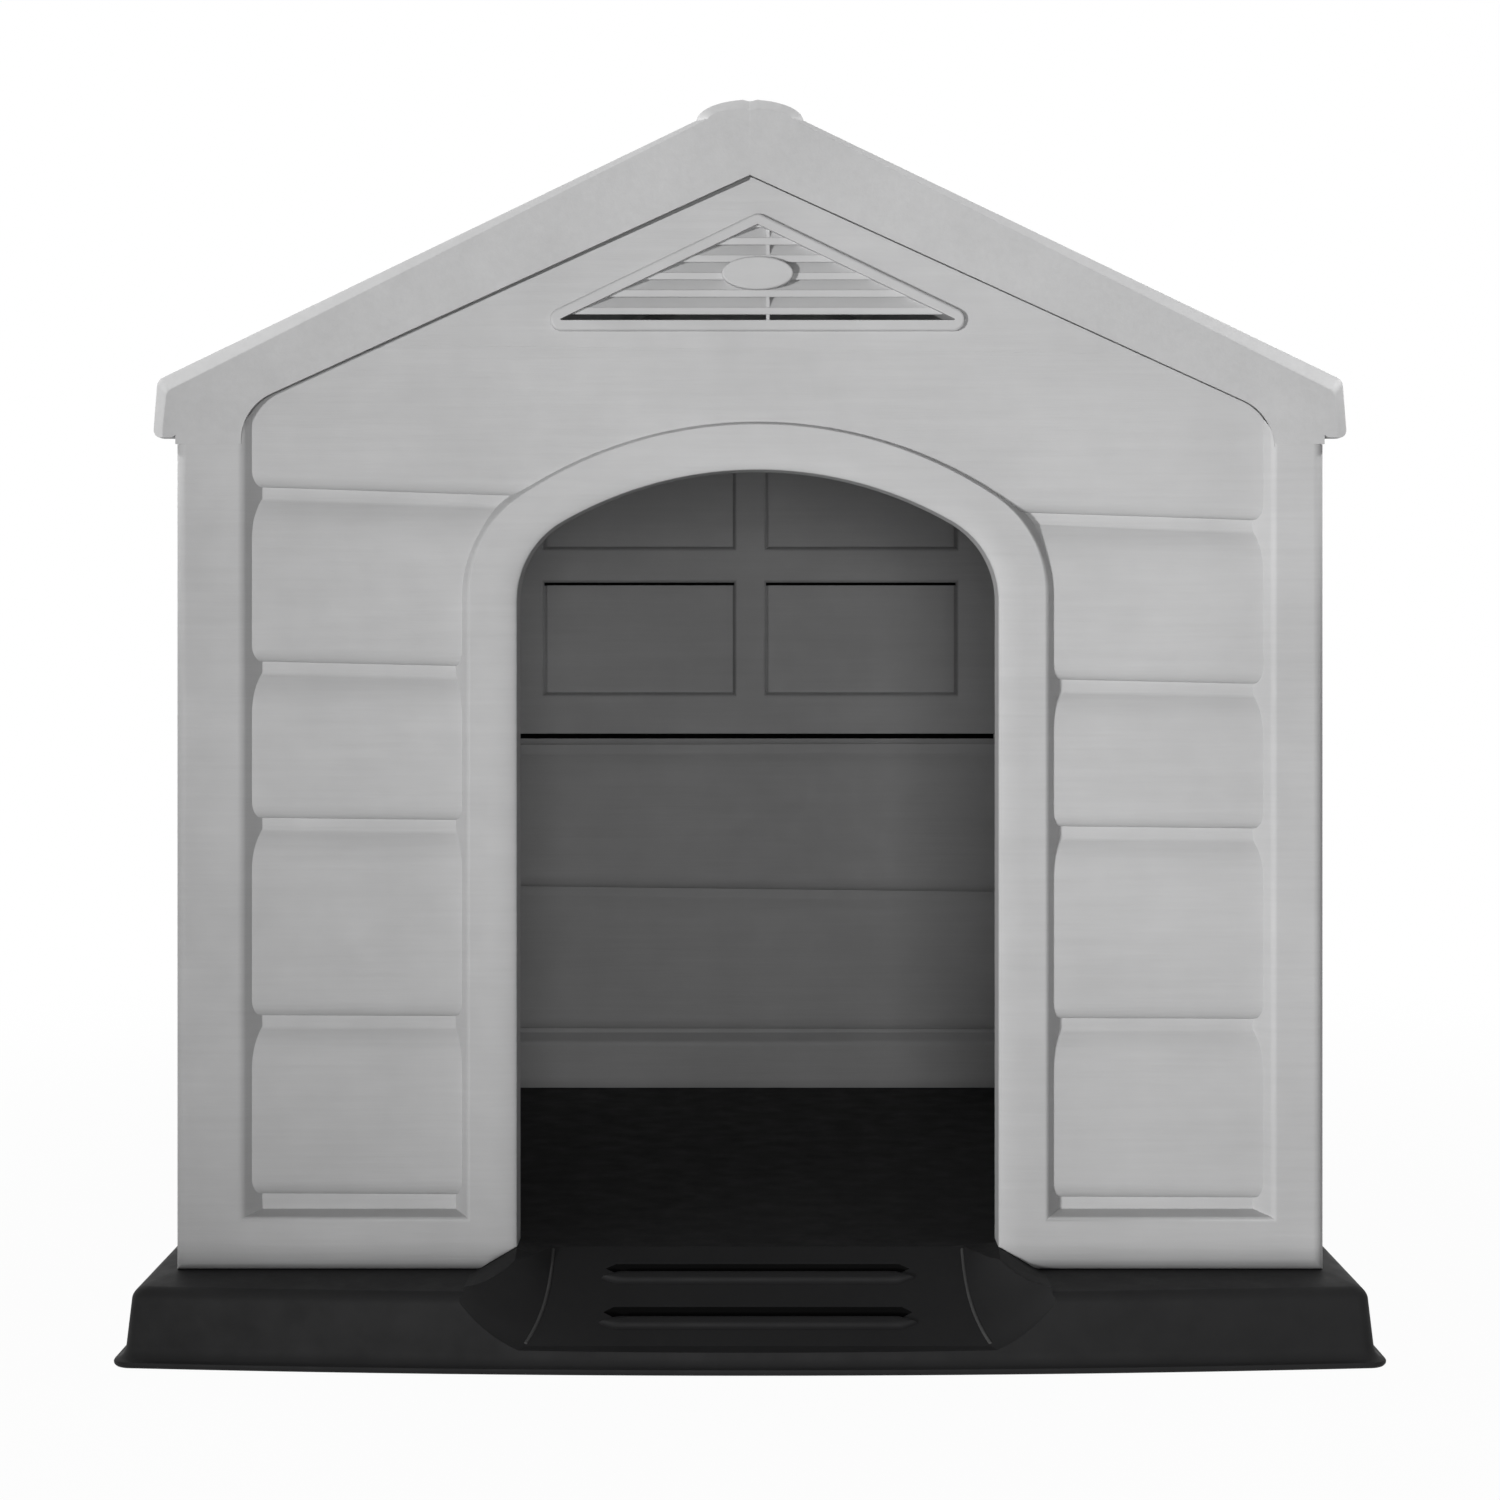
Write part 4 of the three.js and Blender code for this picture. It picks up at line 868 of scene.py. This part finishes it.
# ---- Roof ----

SEAM = 0.02  # from the middle to either half of the roof
ROLL_HALF, ROLL_FOOT, ROLL_RISE = 42, 957.5, 17.2
END_BEVEL = [(0, 10), (0.4, 9.2), (1.3, 8.1), (3, 6.3),
             (7.6, 1.9), (9.3, 0.7), (11.2, 0.15), (13, 0)]  # (depth, inset) at the front and back
EAVE_ROUND = 8
FRONT_LIP, SIDE_LIP = LIP - 7, LIP + 2.5  # lower edges at the bargeboards and between them
COURSES, COURSE_START, COURSE_WIDTH, COURSE_END = 4, 70, 90, 48
FLANGE_DEPTH, FLANGE_THICK, FLANGE_END = 36, 10, 46


def roof_line(back):
    """From the ridge roll down over the eave and back under to the middle."""
    rise = ROLL_RISE - back
    roll = arc((0, ROLL_FOOT), (ROLL_HALF - back, rise), 82, 0, 22)
    crown = ROLL_FOOT + rise
    top = [(SEAM, crown - 1.2), (2, crown - 1), (4, crown - 0.4), (6, crown)]
    top += [(x, max(z, slope(x, back))) for x, z in roll if x > 7]
    lip = (LIP_HALF - back, LIP)
    before = (EAVE_HALF - 30, slope(EAVE_HALF - 30, back))
    eave = rounded(before, (EAVE_HALF - back + 1, slope(EAVE_HALF + 1, back)), lip, EAVE_ROUND, 8)
    return top + eave + [lip, (LIP_HALF - back, FASCIA_FOOT - 5), (SEAM, FASCIA_FOOT - 5)]


def roof_edge(post, low):
    """All that is over the bargeboard's lower edge and, beside the wall, over the lip's edge."""
    lip = rounded((LIP_HALF, low + 27), (LIP_HALF, low), (WALL_HALF, low), EAVE_ROUND, 6)[1:]
    outline = [(-PAST, FASCIA_TOP)] + half_fascia_edge(post)[::-1] + [(post, FASCIA_FOOT)]
    outline += [(WALL_HALF, FASCIA_FOOT), (WALL_HALF, low + 2), (WALL_HALF + 3, low)] + lip[::-1]
    side = LIP_HALF + PAST
    return outline + [(side, LIP + 2), (side, RIDGE + PAST), (-PAST, RIDGE + PAST)]


def roof_trim(side):
    """The roof's edge along the house; the front bargeboards follow the posts to the right."""
    front_post = POST + side * RELIEF
    levels = [(FRONT - PAST, front_post, FRONT_LIP), (FRONT + 15, front_post, FRONT_LIP),
              (FRONT + 17, front_post, SIDE_LIP), (0, front_post, SIDE_LIP),
              (1, POST, SIDE_LIP), (BACK - 17, POST, SIDE_LIP),
              (BACK - 15, POST, FRONT_LIP), (BACK + PAST, POST, FRONT_LIP)]
    levels = [(at, sided(roof_edge(post, low), side)) for at, post, low in levels]
    return extruded("edge", levels, along_y)


def roof_space(side):
    """The room under the roof, between the bargeboards."""
    wall, foot = WALL_HALF + 1.5, FASCIA_FOOT - 10
    inside = [(-PAST, foot), (wall, foot), (wall, underside(wall)), (0, underside(0)), (-PAST, underside(0))]
    return prism("space", sided(inside, side), FRONT + FASCIA_DEPTH, BACK - FASCIA_DEPTH, along_y)


def course(i, side):
    """A shallow wedge off the surface, deepest where it meets the course above."""
    high = COURSE_START + COURSE_WIDTH * i
    low = high + COURSE_WIDTH
    outline = [(x, slope(x, down)) for x, down in (
        (high, -5), (high, 1.2), (high + 0.4, 3.6), (high + 2, 4.8),
        (low - 4, 0.5), (low, 0.5), (low, -5))]
    return prism("course", sided(outline, side), FRONT + COURSE_END, BACK - COURSE_END, along_y)


def roof_half(name, side, finish):
    levels = [(FRONT + at, sided(roof_line(back), side)) for at, back in END_BEVEL]
    levels += [(BACK - at, sided(roof_line(back), side)) for at, back in END_BEVEL[::-1]]
    roof = extruded(name, levels, along_y, finish)
    common(roof, roof_trim(side))
    cut(roof, roof_space(side))
    for i in range(COURSES):
        cut(roof, course(i, side))
    low, high = (SEAM, FLANGE_THICK) if side > 0 else (-FLANGE_THICK, -SEAM)
    flange = block("flange", (low, FRONT + FLANGE_END, underside(0) - FLANGE_DEPTH),
                   (high, BACK - FLANGE_END, underside(0) + 2), finish)
    return added(roof, flange)


# ---- Fixings ----

BRACKET_LEG, BRACKET_THICK = 32, 3
BRACKET_FOOT, BRACKET_TOP = 150, 620
SCREW_ALONG, SCREW_OUT = 18, 6.8  # a head's face, from the bracket's corner and from its wall
SCREW_LEVELS = (("low", 190), ("high", 580))
BOLTS, BOLT_INSET, BOLT_HEIGHT = 3, 106, 916.9
BOLT_START, NUT_START = -14.3, 10.3
THREAD = 1.2


def turned(name, profile, finish, sides=32):
    return extruded(name, [(z, circle(r, sides)) for r, z in profile], along_z, finish)


def fastener(name, radius, head, shank, length, finish):
    """Its head's face is at the origin and it points along +Z."""
    profile = [(radius * math.sin(a), head * 0.6 * (1 - math.cos(a)))
               for a in (0.25, 0.6, 0.95, 1.25, math.pi / 2)]
    profile += [(radius, head), (shank, head)]
    turns = int((length - head - 3) / THREAD)
    for i in range(turns):
        at = head + 0.6 + THREAD * i
        profile += [(shank * 0.8, at), (shank, at + 0.6)]
    profile += [(shank * 0.8, length - 1.5), (0.3, length)]
    piece = turned(name, profile, finish)
    slot, half, depth = radius * 0.62, 0.6, head * 0.55
    cross = block("slot", (-slot, -half, -1), (slot, half, depth))
    added(cross, block("slot", (-half, -slot, -1), (half, slot, depth)))
    return cut(piece, cross)


def bracket(name, finish):
    """An angle with its outer corner at the origin and its legs along +X and +Y."""
    leg, thick = BRACKET_LEG, BRACKET_THICK
    turn = rounded((40, thick), (thick, thick), (thick, 40), 2, 5)
    end = rounded((leg, 0), (leg, thick), (0, thick), 1.2, 3)
    other = [(v, u) for u, v in reversed(end)]
    outline = [(0, 0), (leg, 0)] + end + turn + other + [(0, leg)]
    return prism(name, outline, BRACKET_FOOT, BRACKET_TOP, along_z, finish)


def nut(name, finish):
    radius, height, bore = 6.5, 5, 2.9
    piece = prism(name, circle(radius, 6), 0, height, along_z, finish)
    barrel = [(5.4, 0), (6.6, 1), (6.6, height - 1), (5.4, height)]
    common(piece, turned("chamfer", barrel, finish, 36))
    return cut(piece, turned("bore", [(bore, -1), (bore, height + 1)], finish))


# ---- Material nodes ----

def math_node(tree, operation, first, second):
    node = tree.nodes.new("ShaderNodeMath")
    node.operation = operation
    tree.links.new(first, node.inputs[0])
    tree.links.new(second, node.inputs[1])
    return node.outputs["Value"]


def ranged(tree, value, start, end, low, high, kind="LINEAR"):
    """Maps start..end to low..high and holds the ends."""
    node = tree.nodes.new("ShaderNodeMapRange")
    node.interpolation_type = kind
    node.inputs["From Min"].default_value = start
    node.inputs["From Max"].default_value = end
    node.inputs["To Min"].default_value = low
    node.inputs["To Max"].default_value = high
    tree.links.new(value, node.inputs["Value"])
    return node.outputs["Result"]


def noise(tree, coordinates, scale, detail, stretch=(1, 1, 1)):
    mapping = tree.nodes.new("ShaderNodeMapping")
    mapping.inputs["Scale"].default_value = stretch
    tree.links.new(coordinates, mapping.inputs["Vector"])
    texture = tree.nodes.new("ShaderNodeTexNoise")
    texture.inputs["Scale"].default_value = scale
    texture.inputs["Detail"].default_value = detail
    texture.inputs["Roughness"].default_value = 0.6
    tree.links.new(mapping.outputs["Vector"], texture.inputs["Vector"])
    return texture.outputs["Fac"]


def bumped(tree, height, strength, distance):
    node = tree.nodes.new("ShaderNodeBump")
    node.inputs["Strength"].default_value = strength
    node.inputs["Distance"].default_value = distance * MM
    tree.links.new(height, node.inputs["Height"])
    return node


def painted_foot_shade(tree, coordinates, shade, reach):
    """Painted shade: darkens the walls over this height above their foot, where the base shades them."""
    place = tree.nodes.new("ShaderNodeSeparateXYZ")
    tree.links.new(coordinates, place.inputs["Vector"])
    start, end = (WALL_FOOT - 6) * MM, (WALL_FOOT + reach) * MM
    foot_shade = ranged(tree, place.outputs["Z"], start, end, 0.4, 1, "SMOOTHSTEP")
    return math_node(tree, "MULTIPLY", shade, foot_shade)


def plastic(name, colour, roughness, grain, stretch, depth, mottle=0.06, gloss=0.5, foot=None):
    """Moulded plastic with a fine grain; stretch is how tight the grain is along X, Y and Z."""
    material = bpy.data.materials.new(name)
    material.use_nodes = True
    tree = material.node_tree
    links = tree.links
    shader = tree.nodes["Principled BSDF"]
    shader.inputs["Specular IOR Level"].default_value = gloss
    coordinates = tree.nodes.new("ShaderNodeTexCoord").outputs["Object"]
    fibres = noise(tree, coordinates, grain, 6, stretch)
    clouds = noise(tree, coordinates, 7, 4)
    wear = noise(tree, coordinates, 38, 5)
    start, end = 0.3, 0.7
    shade = math_node(
        tree, "MULTIPLY",
        ranged(tree, clouds, start, end, 1 - mottle, 1 + mottle),
        ranged(tree, fibres, start, end, 1 - mottle * 0.5, 1 + mottle * 0.5))
    # Painted shade: the colour darkens towards the walls' foot over this many millimetres.
    if foot:
        shade = painted_foot_shade(tree, coordinates, shade, foot)
    colours = tree.nodes.new("ShaderNodeVectorMath")
    colours.operation = "SCALE"
    colours.inputs[0].default_value = colour
    links.new(shade, colours.inputs["Scale"])
    links.new(colours.outputs["Vector"], shader.inputs["Base Color"])
    worn = ranged(tree, wear, start, end, roughness - 0.07, roughness + 0.07)
    links.new(worn, shader.inputs["Roughness"])
    grained = bumped(tree, fibres, 0.5, depth)
    pores = bumped(tree, noise(tree, coordinates, 420, 3), 0.3, 0.15)
    links.new(grained.outputs["Normal"], pores.inputs["Normal"])
    links.new(pores.outputs["Normal"], shader.inputs["Normal"])
    return material


def background_rays(tree):
    """1 for the rays that show the background: camera, glossy and transmission rays."""
    path = tree.nodes.new("ShaderNodeLightPath")
    result = path.outputs["Is Camera Ray"]
    for kind in ("Is Glossy Ray", "Is Transmission Ray"):
        result = math_node(tree, "MAXIMUM", result, path.outputs[kind])
    return result


def mixed(tree, share, first, second, output):
    node = tree.nodes.new("ShaderNodeMixShader")
    tree.links.new(share, node.inputs["Fac"])
    tree.links.new(first, node.inputs[1])
    tree.links.new(second, node.inputs[2])
    tree.links.new(node.outputs["Shader"], tree.nodes[output].inputs["Surface"])


# ---- Materials ----

GREY = (0.475, 0.475, 0.478)
EVEN = (1, 1, 1)
# The walls' colour carries painted shade over their lowest 26 mm, where the base shades them.
wall_plastic = plastic("grey_wall_plastic", GREY, 0.62, 9, (1, 1, 26), 0.5, foot=26)
roof_plastic = plastic("grey_roof_plastic", GREY, 0.6, 9, (20, 1, 20), 0.4)
vent_plastic = plastic("grey_vent_plastic", GREY, 0.6, 9, (2, 2, 8), 0.15)
black_plastic = plastic(
    "black_base_plastic", (0.013, 0.013, 0.0134), 0.62, 30, EVEN, 0.25, mottle=0.1, gloss=0.14)
# Painted highlight: lighter than the base, for the beads in the ramp's creases.
painted_highlight_plastic = plastic(
    "painted_highlight_bead_plastic", (0.05, 0.05, 0.05), 0.6, 60, EVEN, 0.1, mottle=0.25, gloss=0.2)
# Painted shade: near-black colour put on the faces of grooves and slots where shade falls.
painted_shade_plastic = plastic(
    "painted_shade_groove_plastic", (0.004, 0.004, 0.004), 0.8, 30, EVEN, 0.1, mottle=0.1, gloss=0.05)
bracket_plastic = plastic(
    "black_bracket_plastic", (0.021, 0.021, 0.021), 0.55, 60, EVEN, 0.1, mottle=0.08)
fixing_plastic = plastic(
    "dark_fixing_plastic", (0.04, 0.04, 0.041), 0.5, 80, EVEN, 0.05, mottle=0.08)

# ---- Assembly ----

def stands_for(piece, node, body):
    smoothed(piece)
    piece.name = piece.data.name = node + "_moulding"
    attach(piece, body)
    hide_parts(node)


quarter, half_turn = math.pi / 2, math.pi
stands_for(base(black_plastic), "base", "house")
stands_for(moved(gable_wall("front", True, wall_plastic), 0, 0, FRONT), "front_wall", "house")
stands_for(moved(gable_wall("back", False, wall_plastic), half_turn, 0, BACK), "back_wall", "house")
left = side_wall("left", wall_plastic)
right = copied(left, "right")
stands_for(moved(left, -quarter, -WALL_HALF, SIDE_CENTRE), "left_wall", "house")
stands_for(moved(right, quarter, WALL_HALF, SIDE_CENTRE), "right_wall", "house")
front_vent = vent("front", vent_plastic)
back_vent = copied(front_vent, "back")
stands_for(moved(front_vent, 0, RELIEF, FRONT), "front_vent", "house")
stands_for(moved(back_vent, half_turn, 0, BACK), "back_vent", "house")
stands_for(roof_half("left_half", -1, roof_plastic), "roof_left", "roof")
stands_for(roof_half("right_half", 1, roof_plastic), "roof_right", "roof")

corner_bracket = bracket("bracket", bracket_plastic)
screw = fastener("screw", radius=6, head=3.2, shank=2.2, length=22, finish=fixing_plastic)
inner, near, far = WALL_HALF - WALL_THICK, FRONT + WALL_THICK, BACK - WALL_THICK
for corner, x, y, turn in (
    ("front_left", -inner, near, 0),
    ("front_right", inner, near, quarter),
    ("back_right", inner, far, half_turn),
    ("back_left", -inner, far, -quarter),
):
    piece = stood(copied(corner_bracket, corner), (0, 0, 0), FIT, FIT, 0)
    stands_for(moved(piece, turn, x, y), corner + "_bracket", "house")
    for level, z in SCREW_LEVELS:
        first = stood(copied(screw, "a"), (quarter, 0, 0), SCREW_ALONG, SCREW_OUT, z)
        stands_for(moved(first, turn, x, y), f"{corner}_screw_a_{level}", "house")
        second = stood(copied(screw, "b"), (0, -quarter, 0), SCREW_OUT, SCREW_ALONG, z)
        stands_for(moved(second, turn, x, y), f"{corner}_screw_b_{level}", "house")

bolt = fastener("bolt", radius=7, head=4, shank=3, length=33.6, finish=fixing_plastic)
ridge_nut = nut("nut", fixing_plastic)
for i in range(BOLTS):
    y = FRONT + BOLT_INSET + (BACK - FRONT - 2 * BOLT_INSET) * i / (BOLTS - 1)
    piece = stood(copied(bolt, "bolt"), (0, quarter, 0), BOLT_START, y, BOLT_HEIGHT)
    stands_for(piece, f"ridge_bolt_{i + 1}", "roof")
    piece = stood(copied(ridge_nut, "nut"), (0, quarter, 0), NUT_START, y, BOLT_HEIGHT)
    stands_for(piece, f"ridge_nut_{i + 1}", "roof")
for pattern in (corner_bracket, screw, bolt, ridge_nut):
    bpy.data.objects.remove(pattern)

# ---- Studio, in metres and watts ----

WHITE = (1, 1, 1, 1)
FLOOR_SIZE = 16
FLOOR_SHARE = 0.97  # how much of the floor near the house shows as plain white


def placed_lamp(light, place, target):
    obj = bpy.data.objects.new(light.name, light)
    bpy.context.scene.collection.objects.link(obj)
    obj.location = place
    obj.rotation_euler = (Vector(target) - Vector(place)).to_track_quat("-Z", "Y").to_euler()


def spot(name, power, softness, cone, blend, place, target):
    light = bpy.data.lights.new(name, "SPOT")
    light.energy = power
    light.shadow_soft_size = softness
    light.spot_size = math.radians(cone)
    light.spot_blend = blend
    placed_lamp(light, place, target)


def studio_room():
    """Plain white to the camera; the room that lights the house is dim in front of it."""
    world = bpy.data.worlds.new("studio")
    bpy.context.scene.world = world
    world.use_nodes = True
    tree = world.node_tree
    seen = tree.nodes.new("ShaderNodeBackground")
    seen.inputs["Color"].default_value = WHITE
    room = tree.nodes["Background"]
    room.inputs["Color"].default_value = WHITE
    direction = tree.nodes.new("ShaderNodeSeparateXYZ")
    coordinates = tree.nodes.new("ShaderNodeTexCoord")
    tree.links.new(coordinates.outputs["Generated"], direction.inputs["Vector"])
    behind = ranged(tree, direction.outputs["Y"], -0.15, 0.35, 0.06, 1, "SMOOTHSTEP")
    tree.links.new(behind, room.inputs["Strength"])
    mixed(tree, background_rays(tree), room.outputs["Background"],
          seen.outputs["Background"], "World Output")


def studio_floor():
    """A pale floor that keeps the shadow under the house and runs out to plain white."""
    nothing_selected()
    bpy.ops.mesh.primitive_plane_add(size=FLOOR_SIZE)
    plane = bpy.context.object
    plane.name = "floor"
    material = bpy.data.materials.new("floor")
    material.use_nodes = True
    tree = material.node_tree
    shader = tree.nodes["Principled BSDF"]
    shader.inputs["Base Color"].default_value = (0.3, 0.3, 0.3, 1)
    shader.inputs["Roughness"].default_value = 0.9
    glow = tree.nodes.new("ShaderNodeEmission")
    glow.inputs["Color"].default_value = WHITE
    away = tree.nodes.new("ShaderNodeVectorMath")
    away.operation = "LENGTH"
    coordinates = tree.nodes.new("ShaderNodeTexCoord")
    tree.links.new(coordinates.outputs["Object"], away.inputs[0])
    plain = ranged(tree, away.outputs["Value"], 0.5, 2.2, FLOOR_SHARE, 1, "SMOOTHSTEP")
    share = math_node(tree, "MULTIPLY", background_rays(tree), plain)
    mixed(tree, share, shader.outputs["BSDF"], glow.outputs["Emission"], "Material Output")
    plane.data.materials.append(material)


spot("key", power=880, softness=0.2, cone=46, blend=1,
     place=(-2.9, -4.5, 0.35), target=(1.5, -0.4, 1.05))
fill = bpy.data.lights.new("fill", "AREA")
fill.energy = 13
fill.size = 0.45
placed_lamp(fill, (0.1, -2.7, 0.58), (0, -0.4, 0.45))
for side, name, power in ((-1, "rim_left", 95), (1, "rim_right", 135)):
    spot(name, power, softness=0.08, cone=24, blend=0.6,
         place=(side * 1.9, -0.24, 1.9), target=(side * 0.25, -0.4, 0.87))
studio_room()
studio_floor()

bpy.context.scene.view_settings.view_transform = "Standard"
